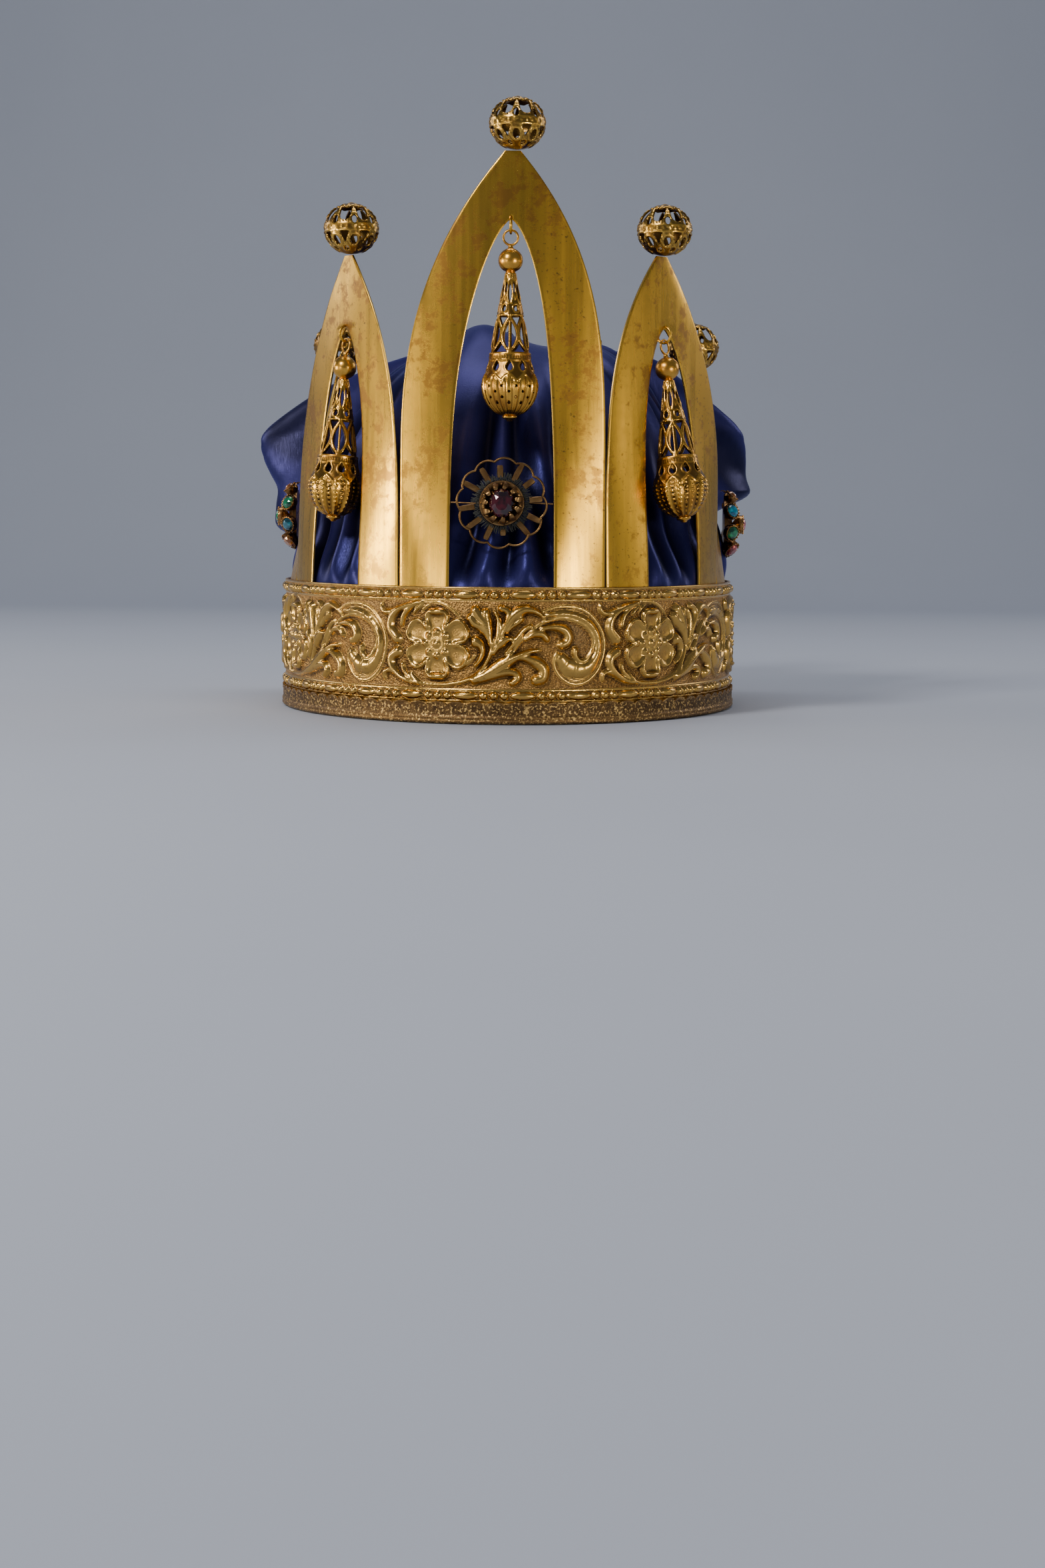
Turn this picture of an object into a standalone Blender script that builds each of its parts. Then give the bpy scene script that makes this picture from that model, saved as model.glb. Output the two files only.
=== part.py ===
"""Ceremonial crown: a stamped brass band with seven pointed sheet arches, pierced finial balls,
three pierced drops, three brooches, a puffed satin cap and a braid-bound rim.

The crown stands on its rim. +Z is up and the front looks to -Y. Lengths are metres.
Places round the crown are arc lengths from the front, positive to +X, along the band's oval.
"""
import math
from collections import namedtuple

import bpy
import numpy as np
from mathutils import Matrix, Vector

# Band: a stamped strip bent to an oval, measured at the ground of its ornament
BAND_HALF_WIDTH = 0.0812
BAND_HALF_DEPTH = 0.1012
BAND_BOTTOM = 0.0018
BAND_TOP = 0.0452
BAND_WALL = 0.0012
BEAD_ROW_HEIGHT = 0.0033
BEAD_ROW_DEPTH = 0.0010
LOWER_BEADS = 0.0094
UPPER_BEADS = 0.0427
BEAD_UNITS = 30
COLUMNS_A_UNIT = 3
BEAD_SHIFT = 0.0056
FIELD_ROWS = 6
UNITS_A_REPEAT = 4
RELIEF_DEPTH = 0.0016
ROSE_PLACE = -0.0232
ROSE_RADIUS_SHARE = 0.42

# Clearance between pieces that touch on the real crown
SEAT_GAP = 0.0003

# Braid folded round the lower edge of the band
BRAID_THICKNESS = 0.0010
BRAID_OUTER_HEIGHT = 0.0072
BRAID_INNER_HEIGHT = 0.0058
BRAID_SEGMENTS = 60

# Arches: pointed frames of sheet brass standing behind the band's upper edge
FRONT_WIDTH = 0.0738
ARCH_WIDTH = 0.0690
ARCH_STRAP = 0.0188
ARCH_SHEET = 0.0010
ARCH_FOOT = 0.0140
ARCH_TIP_HALF = 0.0028
FRONT_STRAIGHT = 0.30
LOW_STRAIGHT = 0.17
ARCH_ROUNDNESS = 2.7
WINDOW_STRAIGHT_SHARE = 0.20
WINDOW_ROUNDNESS = 2.6
WINDOW_POINT = 0.7
ARCH_FLATTENED = 0.5
ARCH_FLAT_FROM = 0.060
FRONT_HEIGHT = 0.1417
SHOULDER_HEIGHT = 0.1104
SIDE_HEIGHT = 0.0756
REAR_HEIGHT = 0.0812
FRONT_CREST = 0.0220
LOW_CREST = 0.0242
SEAM_GAP = 0.0006

# Finial balls: pierced shells on the arch tips
BALL_DIAMETER = 0.0182
BALL_HEIGHT = 0.0168
BALL_WALL = 0.0007
BALL_SIDES = 12
BALL_LEVELS = (0.20, 0.44, 0.55, 0.80)

# Hooks soldered under the window tips, and the eyes that hang in them
HOOK_RADIUS = 0.0027
HOOK_WIRE = 0.0009
EYE_RADIUS = 0.0024
EYE_WIRE = 0.0008
EYE_CLEARANCE = 0.0002

# Drops: a plain bead over a pierced cone and a ribbed bulb
DROP_SIDES = 10
DROP_LENGTH = 0.0620
DROP_RADIUS = 0.0088
DROP_WALL = 0.0009

# Rosette brooch in the front window
ROSETTE_RADIUS = 0.0142
ROSETTE_SCALLOP = 0.0006
ROSETTE_LOBES = 12
ROSETTE_WIRE = 0.0009
ROSETTE_SPOKES = 12
ROSETTE_HEIGHT = 0.0275
CUP_RADIUS = 0.0072
CUP_DEPTH = 0.0034
ROSETTE_STONE_WIDTH = 0.0082
ROSETTE_STONE_HEIGHT = 0.0094
HOLDING_WIRE = 0.0009

# Cluster brooches in the side windows
CLUSTER_RADIUS = 0.0102
CLUSTER_DOME = 0.0038
CLUSTER_PLATE = 0.0014
CLUSTER_RIM = 0.0012
CLUSTER_UNDER = 0.0015
CLUSTER_RAISED = 0.0020
CLUSTER_HEIGHT = 0.0205
CUP_WALL = 0.0006

# Puffed cap inside the arches
CAP_WALL = 0.0015
CAP_HEIGHT = 0.0905
CAP_SKIRT = 0.0300
CAP_ROUNDNESS = 2.35
CAP_SEAT = 0.0028
CAP_INSET = 0.0062
CAP_LEAN = 4.0
CAP_FOLD = 0.0024
CAP_FOLD_COUNT = 14
CAP_PUFF_PAST_BAND = 0.0192
CAP_PUFF_REACH = BAND_HALF_WIDTH + CAP_PUFF_PAST_BAND
PUFF_FROM = 0.0160
PUFF_SPREAD = 0.0700
CAP_COLUMNS = 20


class Oval:
    """The band's oval, walked by arc length from the front."""

    def __init__(self, half_width, half_depth, samples=1441):
        self.half_width = half_width
        self.half_depth = half_depth
        self.angles = np.linspace(0.0, 2.0 * math.pi, samples)
        x = half_width * np.sin(self.angles)
        y = -half_depth * np.cos(self.angles)
        steps = np.hypot(np.diff(x), np.diff(y))
        self.lengths = np.concatenate([[0.0], np.cumsum(steps)])
        self.girth = float(self.lengths[-1])

    def angle(self, s):
        return float(np.interp(s % self.girth, self.lengths, self.angles))

    def normal(self, s):
        t = self.angle(s)
        return Vector((self.half_depth * math.sin(t), -self.half_width * math.cos(t), 0.0)).normalized()

    def tangent(self, s):
        n = self.normal(s)
        return Vector((-n.y, n.x, 0.0))

    def point(self, s, out=0.0, z=0.0):
        t = self.angle(s)
        base = Vector((self.half_width * math.sin(t), -self.half_depth * math.cos(t), z))
        return base + self.normal(s) * out


OVAL = Oval(BAND_HALF_WIDTH, BAND_HALF_DEPTH)
HALF_GIRTH = 0.5 * OVAL.girth
ARCH_OUTSIDE = -BAND_WALL - SEAT_GAP
ARCH_INSIDE = ARCH_OUTSIDE - ARCH_SHEET
ARCH_MIDDLE = 0.5 * (ARCH_OUTSIDE + ARCH_INSIDE)
FRONT_PLACE = -0.0019
SHOULDER_RIGHT = FRONT_PLACE + 0.5 * (FRONT_WIDTH + ARCH_WIDTH) + SEAM_GAP
SHOULDER_LEFT = FRONT_PLACE - 0.5 * (FRONT_WIDTH + ARCH_WIDTH) - SEAM_GAP
SIDE_RIGHT = SHOULDER_RIGHT + ARCH_WIDTH + SEAM_GAP
SIDE_LEFT = SHOULDER_LEFT - ARCH_WIDTH - SEAM_GAP
REAR_PLACE = HALF_GIRTH - 0.5 * (ARCH_WIDTH + SEAM_GAP)
GAP_RIGHT = 0.5 * (SIDE_RIGHT + REAR_PLACE)
GAP_LEFT = 0.5 * (SIDE_LEFT - REAR_PLACE)
GAP_HALF = 0.5 * (REAR_PLACE + SIDE_LEFT - ARCH_WIDTH)
Arch = namedtuple("Arch", "name place width height crest lean twist tip_shift ball_shift drop_tilt")
ARCHES = (
    # crest is the sheet above the window; lean is inward in degrees, and twist is how much more it
    # is at the right edge; tip and ball shift along the band; drop_tilt is how far a drop leans out
    Arch("front", FRONT_PLACE, FRONT_WIDTH, FRONT_HEIGHT, FRONT_CREST, 0.6, 0.0, 0.0030, 0.0016, 0.0),
    Arch("shoulder_right", SHOULDER_RIGHT, ARCH_WIDTH, SHOULDER_HEIGHT, LOW_CREST,
         0.6, -2.0, -0.0056, 0.0016, 8.5),
    Arch("shoulder_left", SHOULDER_LEFT, ARCH_WIDTH, SHOULDER_HEIGHT, LOW_CREST,
         0.9, -2.2, 0.0038, 0.0016, 5.0),
    Arch("side_right", SIDE_RIGHT, ARCH_WIDTH, SIDE_HEIGHT, LOW_CREST, 7.8, 0.0, 0.0, 0.0, 0.0),
    Arch("side_left", SIDE_LEFT, ARCH_WIDTH, SIDE_HEIGHT, LOW_CREST, 11.2, 0.0, 0.0, 0.0, 0.0),
    Arch("rear_right", REAR_PLACE, ARCH_WIDTH, REAR_HEIGHT, LOW_CREST, 6.0, 0.0, 0.0, 0.0, 0.0),
    Arch("rear_left", -REAR_PLACE, ARCH_WIDTH, REAR_HEIGHT, LOW_CREST, 6.0, 0.0, 0.0, 0.0, 0.0),
)
HOOKED_ARCHES = ARCHES[:3]


def clear_scene():
    for item in list(bpy.data.objects):
        bpy.data.objects.remove(item, do_unlink=True)


def material(name, colour, roughness, metallic):
    made = bpy.data.materials.get(name)
    if made is None:
        made = bpy.data.materials.new(name)
        made.use_nodes = True
        shader = made.node_tree.nodes["Principled BSDF"]
        shader.inputs["Base Color"].default_value = (*colour, 1.0)
        shader.inputs["Roughness"].default_value = roughness
        shader.inputs["Metallic"].default_value = metallic
    return made


def band_brass():
    return material("stamped_brass", (0.42, 0.25, 0.10), 0.36, 1.0)


def sheet_brass():
    return material("sheet_brass", (0.52, 0.36, 0.11), 0.34, 1.0)


def gilt():
    return material("gilt_filigree", (0.62, 0.42, 0.14), 0.28, 1.0)


def bronze():
    return material("aged_bronze", (0.20, 0.13, 0.07), 0.42, 1.0)


def satin():
    return material("blue_satin", (0.020, 0.025, 0.16), 0.45, 0.0)


def braid_thread():
    return material("metal_braid", (0.16, 0.09, 0.04), 0.55, 0.6)


def glass(tint):
    return material(tint + "_glass", GLASS_COLOURS[tint], 0.08, 0.0)


def add_mesh(name, points, faces, finish, smooth_angle=None):
    mesh = bpy.data.meshes.new(name)
    mesh.from_pydata([tuple(p) for p in points], [], faces)
    mesh.materials.append(finish)
    mesh.update()
    made = bpy.data.objects.new(name, mesh)
    bpy.context.scene.collection.objects.link(made)
    if smooth_angle is not None:
        mesh.shade_smooth()
        mesh.set_sharp_from_angle(angle=math.radians(smooth_angle))
    return made


def closed_shell(name, front, back, faces, finish, smooth_angle=35.0):
    """One closed body from a surface, its faces and the same points on its other side."""
    count = len(front)
    directed = set()
    for face in faces:
        for i, start in enumerate(face):
            directed.add((start, face[(i + 1) % len(face)]))
    body = [tuple(face) for face in faces]
    body += [tuple(count + i for i in reversed(face)) for face in faces]
    for start, end in sorted(directed):
        if (end, start) not in directed:
            body.append((end, start, start + count, end + count))
    return add_mesh(name, list(front) + list(back), body, finish, smooth_angle)


def union_all(name, parts):
    """Solders overlapping closed bodies into one."""
    target = parts[0]
    target.name = name
    for index, tool in enumerate(parts[1:]):
        joint = target.modifiers.new("solder_%d" % index, 'BOOLEAN')
        joint.operation = 'UNION'
        joint.solver = 'EXACT'
        joint.object = tool
        tool.hide_render = True
        tool.display_type = 'WIRE'
    return target


def smoothstep(x):
    x = min(1.0, max(0.0, x))
    return x * x * (3.0 - 2.0 * x)


def bump(x, half):
    """A round hill of height 1 that falls to 0 at plus and minus half."""
    if abs(x) >= half:
        return 0.0
    return math.cos(0.5 * math.pi * x / half) ** 2


def zip_rings(first, second, first_at, second_at):
    """Triangles between two closed rings of points whose places round the ring are known."""
    faces = []
    i = 0
    j = 0
    while i < len(first) or j < len(second):
        next_i = first_at[i + 1] if i + 1 < len(first) else 1.0
        next_j = second_at[j + 1] if j + 1 < len(second) else 1.0
        a = first[i % len(first)]
        b = second[j % len(second)]
        if j >= len(second) or (i < len(first) and next_i <= next_j):
            faces.append((a, first[(i + 1) % len(first)], b))
            i += 1
        else:
            faces.append((a, second[(j + 1) % len(second)], b))
            j += 1
    return faces


def rose_height(u, v, radius):
    """Six petals round a button, in a disc of the given radius."""
    r = math.hypot(u, v) / radius
    if r >= 1.0:
        return 0.0
    petals = 0.75 + 0.25 * math.cos(6.0 * math.atan2(v, u))
    rim = bump(r - 0.68, 0.42) * petals
    button = 0.9 * bump(r, 0.26)
    return max(rim, button)


def stroke_height(u, v, centre, radius, start, turn, width):
    """A raised scroll: an arc of a circle with round shoulders."""
    du = u - centre[0]
    dv = v - centre[1]
    along = (math.degrees(math.atan2(dv, du)) - start) % 360.0
    if along > turn:
        return 0.0
    return bump(math.hypot(du, dv) - radius, width)


SCROLL_ROWS = (
    # centre along from the rose and up, radius (shares of the field's height), start, sweep (degrees),
    # half width share
    (1.55, -0.01, 0.36, -150.0, 300.0, 0.13),
    (1.45, -0.17, 0.12, 0.0, 360.0, 0.16),
    (0.02, 0.01, 0.52, 110.0, 150.0, 0.09),
    (0.95, 0.55, 0.62, 200.0, 110.0, 0.12),
    (0.75, -0.55, 0.55, 20.0, 120.0, 0.12),
)
FIELD_EDGE_FROM = 0.42
FIELD_EDGE_WIDTH = 0.08


def relief(s, z):
    """Height of the stamped field above its ground: roses, leaf sprays and volutes."""
    repeat = OVAL.girth / BEAD_UNITS * UNITS_A_REPEAT
    field = UPPER_BEADS - LOWER_BEADS - BEAD_ROW_HEIGHT
    middle = 0.5 * (UPPER_BEADS + LOWER_BEADS)
    around = (s + HALF_GIRTH) % OVAL.girth - HALF_GIRTH
    u = ((around - ROSE_PLACE + 0.5 * field) % repeat) / field - 0.5
    v = (z - middle) / field
    height = rose_height(u, v, ROSE_RADIUS_SHARE)
    span = repeat / field
    for centre_u, centre_v, radius, start, turn, width in SCROLL_ROWS:
        for shift in (-span, 0.0, span):
            centre = (centre_u + shift, centre_v)
            height = max(height, stroke_height(u, v, centre, radius, start, turn, width))
    edge = 1.0 - smoothstep((abs(v) - FIELD_EDGE_FROM) / FIELD_EDGE_WIDTH)
    return RELIEF_DEPTH * height * edge


def bead_places():
    """Valleys and crests of one olive and its three beads, as shares of a unit."""
    half_olive = 0.2275
    bead = (1.0 - 2.0 * half_olive) / 3.0
    places = [(-half_olive, 0.25), (-0.5 * half_olive, 1.0), (0.5 * half_olive, 1.0), (half_olive, 0.25)]
    for k in range(3):
        places.append((half_olive + (k + 0.5) * bead, 1.0))
        if k < 2:
            places.append((half_olive + (k + 1) * bead, 0.25))
    return places


def build_band():
    """The stamped strip: two rows of olives and beads, and a field of raised ornament between them."""
    unit = 1.0 / BEAD_UNITS
    coarse = [k * unit / COLUMNS_A_UNIT for k in range(COLUMNS_A_UNIT * BEAD_UNITS)]
    fine = sorted(((k + share) % BEAD_UNITS) * unit for k in range(BEAD_UNITS) for share, _ in bead_places())
    crest = {}
    for k in range(BEAD_UNITS):
        for share, height in bead_places():
            crest[round(((k + share) % BEAD_UNITS) * unit, 9)] = height
    half_row = 0.5 * BEAD_ROW_HEIGHT
    field_low = LOWER_BEADS + half_row
    field_high = UPPER_BEADS - half_row
    rows = [("plain", BAND_BOTTOM), ("plain", LOWER_BEADS - half_row), ("beads", LOWER_BEADS)]
    field_step = (field_high - field_low) / (FIELD_ROWS - 1)
    rows += [("field", field_low + field_step * k) for k in range(FIELD_ROWS)]
    rows += [("beads", UPPER_BEADS), ("plain", UPPER_BEADS + half_row), ("plain", BAND_TOP)]
    rows += [("inside", BAND_TOP), ("inside", BAND_BOTTOM)]
    points = []
    rings = []
    for kind, z in rows:
        places = fine if kind == "beads" else coarse
        start = len(points)
        for place in places:
            s = place * OVAL.girth + BEAD_SHIFT
            out = 0.0
            if kind == "beads":
                out = BEAD_ROW_DEPTH * crest[round(place, 9)]
            elif kind == "field":
                out = relief(s, z)
            elif kind == "inside":
                out = -BAND_WALL
            points.append(OVAL.point(s, out, z))
        rings.append((list(range(start, len(points))), places))
    faces = []
    for k, (ring, places) in enumerate(rings):
        above, above_places = rings[(k + 1) % len(rings)]
        faces += zip_rings(ring, above, places, above_places)
    return add_mesh("band", points, faces, band_brass(), 40.0)


def build_braid():
    """Braid folded round the band's lower edge, as a gutter that the band stands in."""
    inner_face = -BAND_WALL - ARCH_SHEET - 3 * SEAT_GAP
    outer_face = SEAT_GAP
    floor = BAND_BOTTOM - SEAT_GAP
    section = (
        (inner_face - BRAID_THICKNESS, 0.0),
        (outer_face + BRAID_THICKNESS, 0.0),
        (outer_face + BRAID_THICKNESS, BRAID_OUTER_HEIGHT),
        (outer_face, BRAID_OUTER_HEIGHT),
        (outer_face, floor),
        (inner_face, floor),
        (inner_face, BRAID_INNER_HEIGHT),
        (inner_face - BRAID_THICKNESS, BRAID_INNER_HEIGHT),
    )
    points = []
    for k in range(BRAID_SEGMENTS):
        s = OVAL.girth * k / BRAID_SEGMENTS
        points += [OVAL.point(s, out, z) for out, z in section]
    faces = []
    corners = len(section)
    for k in range(BRAID_SEGMENTS):
        here = k * corners
        there = ((k + 1) % BRAID_SEGMENTS) * corners
        for c in range(corners):
            d = (c + 1) % corners
            faces.append((here + c, there + c, there + d, here + d))
    return add_mesh("rim_braid", points, faces, braid_thread(), 40.0)


def arch_half_width(arch, h):
    """Half the width of an arch at a height above the band."""
    straight = arch.height * (FRONT_STRAIGHT if arch.name == "front" else LOW_STRAIGHT)
    rise = min(1.0, max(0.0, h - straight) / (arch.height - straight))
    half = 0.5 * arch.width
    return half - (half - ARCH_TIP_HALF) * rise ** ARCH_ROUNDNESS


def window_apex(arch):
    return arch.height - arch.crest


def window_half_width(arch, h):
    """Half the width of an arch's window at a height above the band."""
    straight = WINDOW_STRAIGHT_SHARE * window_apex(arch)
    rise = min(1.0, max(0.0, h - straight) / (window_apex(arch) - straight))
    return (0.5 * arch.width - ARCH_STRAP) * (1.0 - rise ** WINDOW_ROUNDNESS) ** WINDOW_POINT


def arch_point(arch, u, h, out):
    """A point of an arch: u along it from its middle, h above the band, out from the band's oval."""
    raised = max(0.0, h)
    half = 0.5 * arch.width
    along = u + arch.tip_shift * smoothstep((raised / arch.height - 0.35) / 0.65)

    def on_oval(v):
        lean = math.tan(math.radians(arch.lean + arch.twist * v / arch.width))
        return OVAL.point(arch.place + v, out - lean * raised, BAND_TOP + h)

    chord = on_oval(-half).lerp(on_oval(half), 0.5 + 0.5 * along / half)
    return on_oval(along).lerp(chord, ARCH_FLATTENED * smoothstep(raised / ARCH_FLAT_FROM))


def arch_heights(arch, apex):
    """Heights of the rows of points, close where the outline turns."""
    below = [-ARCH_FOOT] + [apex * share for share in (0.0, 0.30, 0.52, 0.70, 0.84, 0.93)]
    above = [apex + (arch.height - apex) * share for share in (0.0, 0.35, 0.7, 1.0)]
    return below + above


def build_arch(arch):
    """A pointed arch of sheet brass with a pointed window between its two legs."""
    apex = window_apex(arch)
    heights = arch_heights(arch, apex)
    front = []
    back = []
    index = {}

    def corner(side, row, column):
        h = heights[row]
        outer = arch_half_width(arch, h)
        inner = window_half_width(arch, h)
        u = side * (outer + (inner - outer) * column / 2.0)
        key = (row, round(u, 7))
        if key not in index:
            index[key] = len(front)
            front.append(arch_point(arch, u, h, ARCH_OUTSIDE))
            back.append(arch_point(arch, u, h, ARCH_INSIDE))
        return index[key]

    faces = []
    for row in range(len(heights) - 1):
        for column in (0, 1):
            faces.append((corner(-1, row, column), corner(-1, row, column + 1),
                          corner(-1, row + 1, column + 1), corner(-1, row + 1, column)))
            faces.append((corner(1, row, column + 1), corner(1, row, column),
                          corner(1, row + 1, column), corner(1, row + 1, column + 1)))
    return closed_shell("arch_" + arch.name, front, back, faces, sheet_brass(), 30.0)


def ring_points(centre, across, up, radius, wire, sides, wire_sides):
    """A ring of round wire in the plane of two directions."""
    points = []
    normal = across.cross(up)
    for k in range(sides):
        turn = 2.0 * math.pi * k / sides
        outward = across * math.cos(turn) + up * math.sin(turn)
        for j in range(wire_sides):
            roll = 2.0 * math.pi * j / wire_sides
            reach = radius + 0.5 * wire * math.cos(roll)
            points.append(centre + outward * reach + normal * (0.5 * wire * math.sin(roll)))
    faces = []
    for k in range(sides):
        here = k * wire_sides
        there = ((k + 1) % sides) * wire_sides
        for j in range(wire_sides):
            i = (j + 1) % wire_sides
            faces.append((here + j, there + j, there + i, here + i))
    return points, faces


def hook_place(arch):
    """Centre of the hook's ring, under the tip of the window and in the middle of the sheet."""
    return arch_point(arch, 0.0, window_apex(arch) - HOOK_RADIUS + HOOK_WIRE, ARCH_MIDDLE)


def build_hook(arch):
    """A small ring soldered under the window's tip, standing square to the sheet."""
    points, faces = ring_points(
        hook_place(arch), OVAL.normal(arch.place), Vector((0.0, 0.0, 1.0)), HOOK_RADIUS, HOOK_WIRE, 12, 6)
    return add_mesh("hook_" + arch.name, points, faces, sheet_brass(), 40.0)


def build_ball(arch):
    """A ball stamped in two halves: a belt at the seam between two staggered rows of openings."""
    radius = 0.5 * BALL_DIAMETER
    half_height = 0.5 * BALL_HEIGHT
    tip = arch_point(arch, arch.ball_shift, arch.height, ARCH_MIDDLE)
    centre = tip + Vector((0.0, 0.0, SEAT_GAP + half_height))
    front = []
    back = []

    def add(ray):
        front.append(centre + Vector((ray.x * radius, ray.y * radius, ray.z * half_height)))
        back.append(centre + (front[-1] - centre) * (1.0 - BALL_WALL / radius))

    for share in BALL_LEVELS:
        polar = math.pi * share
        for k in range(BALL_SIDES):
            turn = 2.0 * math.pi * (k + 0.5) / BALL_SIDES
            level = math.sin(polar)
            add(Vector((level * math.sin(turn), -level * math.cos(turn), math.cos(polar))))
    top = len(front)
    add(Vector((0.0, 0.0, 1.0)))
    bottom = len(front)
    add(Vector((0.0, 0.0, -1.0)))
    faces = []
    last = (len(BALL_LEVELS) - 1) * BALL_SIDES
    for k in range(BALL_SIDES):
        j = (k + 1) % BALL_SIDES
        faces.append((top, k, j))
        faces.append((bottom, last + j, last + k))
        for row in range(len(BALL_LEVELS) - 1):
            opening = row in (0, 2) and (k + row // 2) % 2 == 0
            if not opening:
                here = row * BALL_SIDES
                below = here + BALL_SIDES
                faces.append((here + k, below + k, below + j, here + j))
    return closed_shell("finial_" + arch.name, front, back, faces, gilt(), 45.0)


DROP_ROWS = (
    # share of the length below the hook, share of the widest radius
    (0.072, 0.10),
    (0.104, 0.26),
    (0.125, 0.40),
    (0.159, 0.455),
    (0.193, 0.40),
    (0.220, 0.20),
    (0.245, 0.24),
    (0.400, 0.42),
    (0.440, 0.47),
    (0.630, 0.73),
    (0.690, 0.80),
    (0.745, 0.92),
    (0.800, 1.00),
    (0.895, 0.82),
    (0.965, 0.42),
)
DROP_SHELL_FROM = 6
DROP_SHELL_TO = 13
DROP_OPEN_BANDS = (6, 8, 10)


def drop_axis(arch):
    """Where the eye's wire rests in the hook: the point that the drop swings about."""
    lift = 0.5 * HOOK_WIRE + 0.5 * EYE_WIRE + EYE_CLEARANCE
    return hook_place(arch) + Vector((0.0, 0.0, lift - HOOK_RADIUS))


def build_drop(arch, pivot):
    """A hanging drop: a plain bead, a pierced cone and a ribbed bulb, hollow from cone to bulb."""
    name = arch.name
    eye_centre = Vector((0.0, 0.0, -EYE_RADIUS))
    across = Vector((1.0, 0.0, 0.0))
    eye_points, eye_faces = ring_points(
        eye_centre, across, Vector((0.0, 0.0, 1.0)), EYE_RADIUS, EYE_WIRE, 12, 6)
    eye = add_mesh("drop_eye_" + name, eye_points, eye_faces, gilt(), 40.0)
    outer = [(DROP_LENGTH * depth, DROP_RADIUS * share) for depth, share in DROP_ROWS]
    points = []
    rings = []
    for depth, radius in outer:
        rings.append(len(points))
        for k in range(DROP_SIDES):
            turn = 2.0 * math.pi * k / DROP_SIDES
            points.append(Vector((radius * math.sin(turn), -radius * math.cos(turn), -depth)))
    inner = {}
    for row in range(DROP_SHELL_FROM, DROP_SHELL_TO + 1):
        depth, radius = outer[row]
        inner[row] = len(points)
        for k in range(DROP_SIDES):
            turn = 2.0 * math.pi * k / DROP_SIDES
            reach = radius - DROP_WALL
            points.append(Vector((reach * math.sin(turn), -reach * math.cos(turn), -depth)))
    top = len(points)
    points.append(Vector((0.0, 0.0, -outer[0][0])))
    tip = len(points)
    points.append(Vector((0.0, 0.0, -DROP_LENGTH)))
    ceiling = len(points)
    points.append(Vector((0.0, 0.0, -outer[DROP_SHELL_FROM][0])))
    floor = len(points)
    points.append(Vector((0.0, 0.0, -outer[DROP_SHELL_TO][0])))
    faces = []
    last = rings[-1]
    for k in range(DROP_SIDES):
        j = (k + 1) % DROP_SIDES
        faces.append((top, rings[0] + k, rings[0] + j))
        faces.append((tip, last + j, last + k))
        faces.append((ceiling, inner[DROP_SHELL_FROM] + j, inner[DROP_SHELL_FROM] + k))
        faces.append((floor, inner[DROP_SHELL_TO] + k, inner[DROP_SHELL_TO] + j))
        for row in range(len(outer) - 1):
            opening = row in DROP_OPEN_BANDS and (k + row // 2) % 2 == 0
            here = rings[row]
            below = rings[row + 1]
            if not opening:
                faces.append((here + k, below + k, below + j, here + j))
            if DROP_SHELL_FROM <= row < DROP_SHELL_TO:
                inside = inner[row]
                lower = inner[row + 1]
                if not opening:
                    faces.append((inside + j, lower + j, lower + k, inside + k))
                else:
                    faces.append((here + k, inside + k, inside + j, here + j))
                    faces.append((below + j, lower + j, lower + k, below + k))
                    faces.append((below + k, lower + k, inside + k, here + k))
                    faces.append((here + j, inside + j, lower + j, below + j))
    body = add_mesh("drop_" + name, points, faces, gilt(), 40.0)
    drop = union_all("drop_" + name, [body, eye])
    for part in (body, eye):
        part.parent = pivot
    return drop


def place_pivot(arch):
    """An empty on the drop's axis, with its X along the sheet and its -Y out of the crown."""
    pivot = bpy.data.objects.new("pivot_" + arch.name, None)
    bpy.context.scene.collection.objects.link(pivot)
    normal = OVAL.normal(arch.place)
    pivot.location = drop_axis(arch)
    pivot.rotation_euler = (-math.radians(arch.drop_tilt), 0.0, math.atan2(normal.x, -normal.y))
    return pivot


def turned(name, profile, sides, finish, smooth_angle=35.0):
    """A body of revolution about Z from (radius, height) pairs, outer side first from the bottom."""
    points = []
    rings = []
    for radius, z in profile:
        if radius < 1e-9:
            rings.append([len(points)])
            points.append(Vector((0.0, 0.0, z)))
        else:
            ring = []
            for k in range(sides):
                turn = 2.0 * math.pi * (k + 0.5) / sides
                ring.append(len(points))
                points.append(Vector((radius * math.cos(turn), radius * math.sin(turn), z)))
            rings.append(ring)
    faces = []
    for here, there in zip(rings, rings[1:]):
        for k in range(sides):
            j = (k + 1) % sides
            if len(here) == 1:
                faces.append((here[0], there[j], there[k]))
            elif len(there) == 1:
                faces.append((here[k], here[j], there[0]))
            else:
                faces.append((here[k], here[j], there[j], there[k]))
    return add_mesh(name, points, faces, finish, smooth_angle)


def box_between(name, low, high, finish):
    corners = []
    for z in (low[2], high[2]):
        for y in (low[1], high[1]):
            corners += [Vector((low[0], y, z)), Vector((high[0], y, z))]
    faces = [(0, 2, 3, 1), (4, 5, 7, 6), (0, 1, 5, 4), (2, 6, 7, 3), (0, 4, 6, 2), (1, 3, 7, 5)]
    return add_mesh(name, corners, faces, finish)


def facing_out(place, z, out):
    """Frame on the crown's side: Z out of the crown, Y up, X along the band."""
    normal = OVAL.normal(place)
    up = Vector((0.0, 0.0, 1.0))
    across = up.cross(normal)
    frame = Matrix((
        (across.x, up.x, normal.x, 0.0),
        (across.y, up.y, normal.y, 0.0),
        (across.z, up.z, normal.z, 0.0),
        (0.0, 0.0, 0.0, 1.0),
    ))
    where = OVAL.point(place, out, z)
    return Matrix.Translation(where) @ frame


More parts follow.
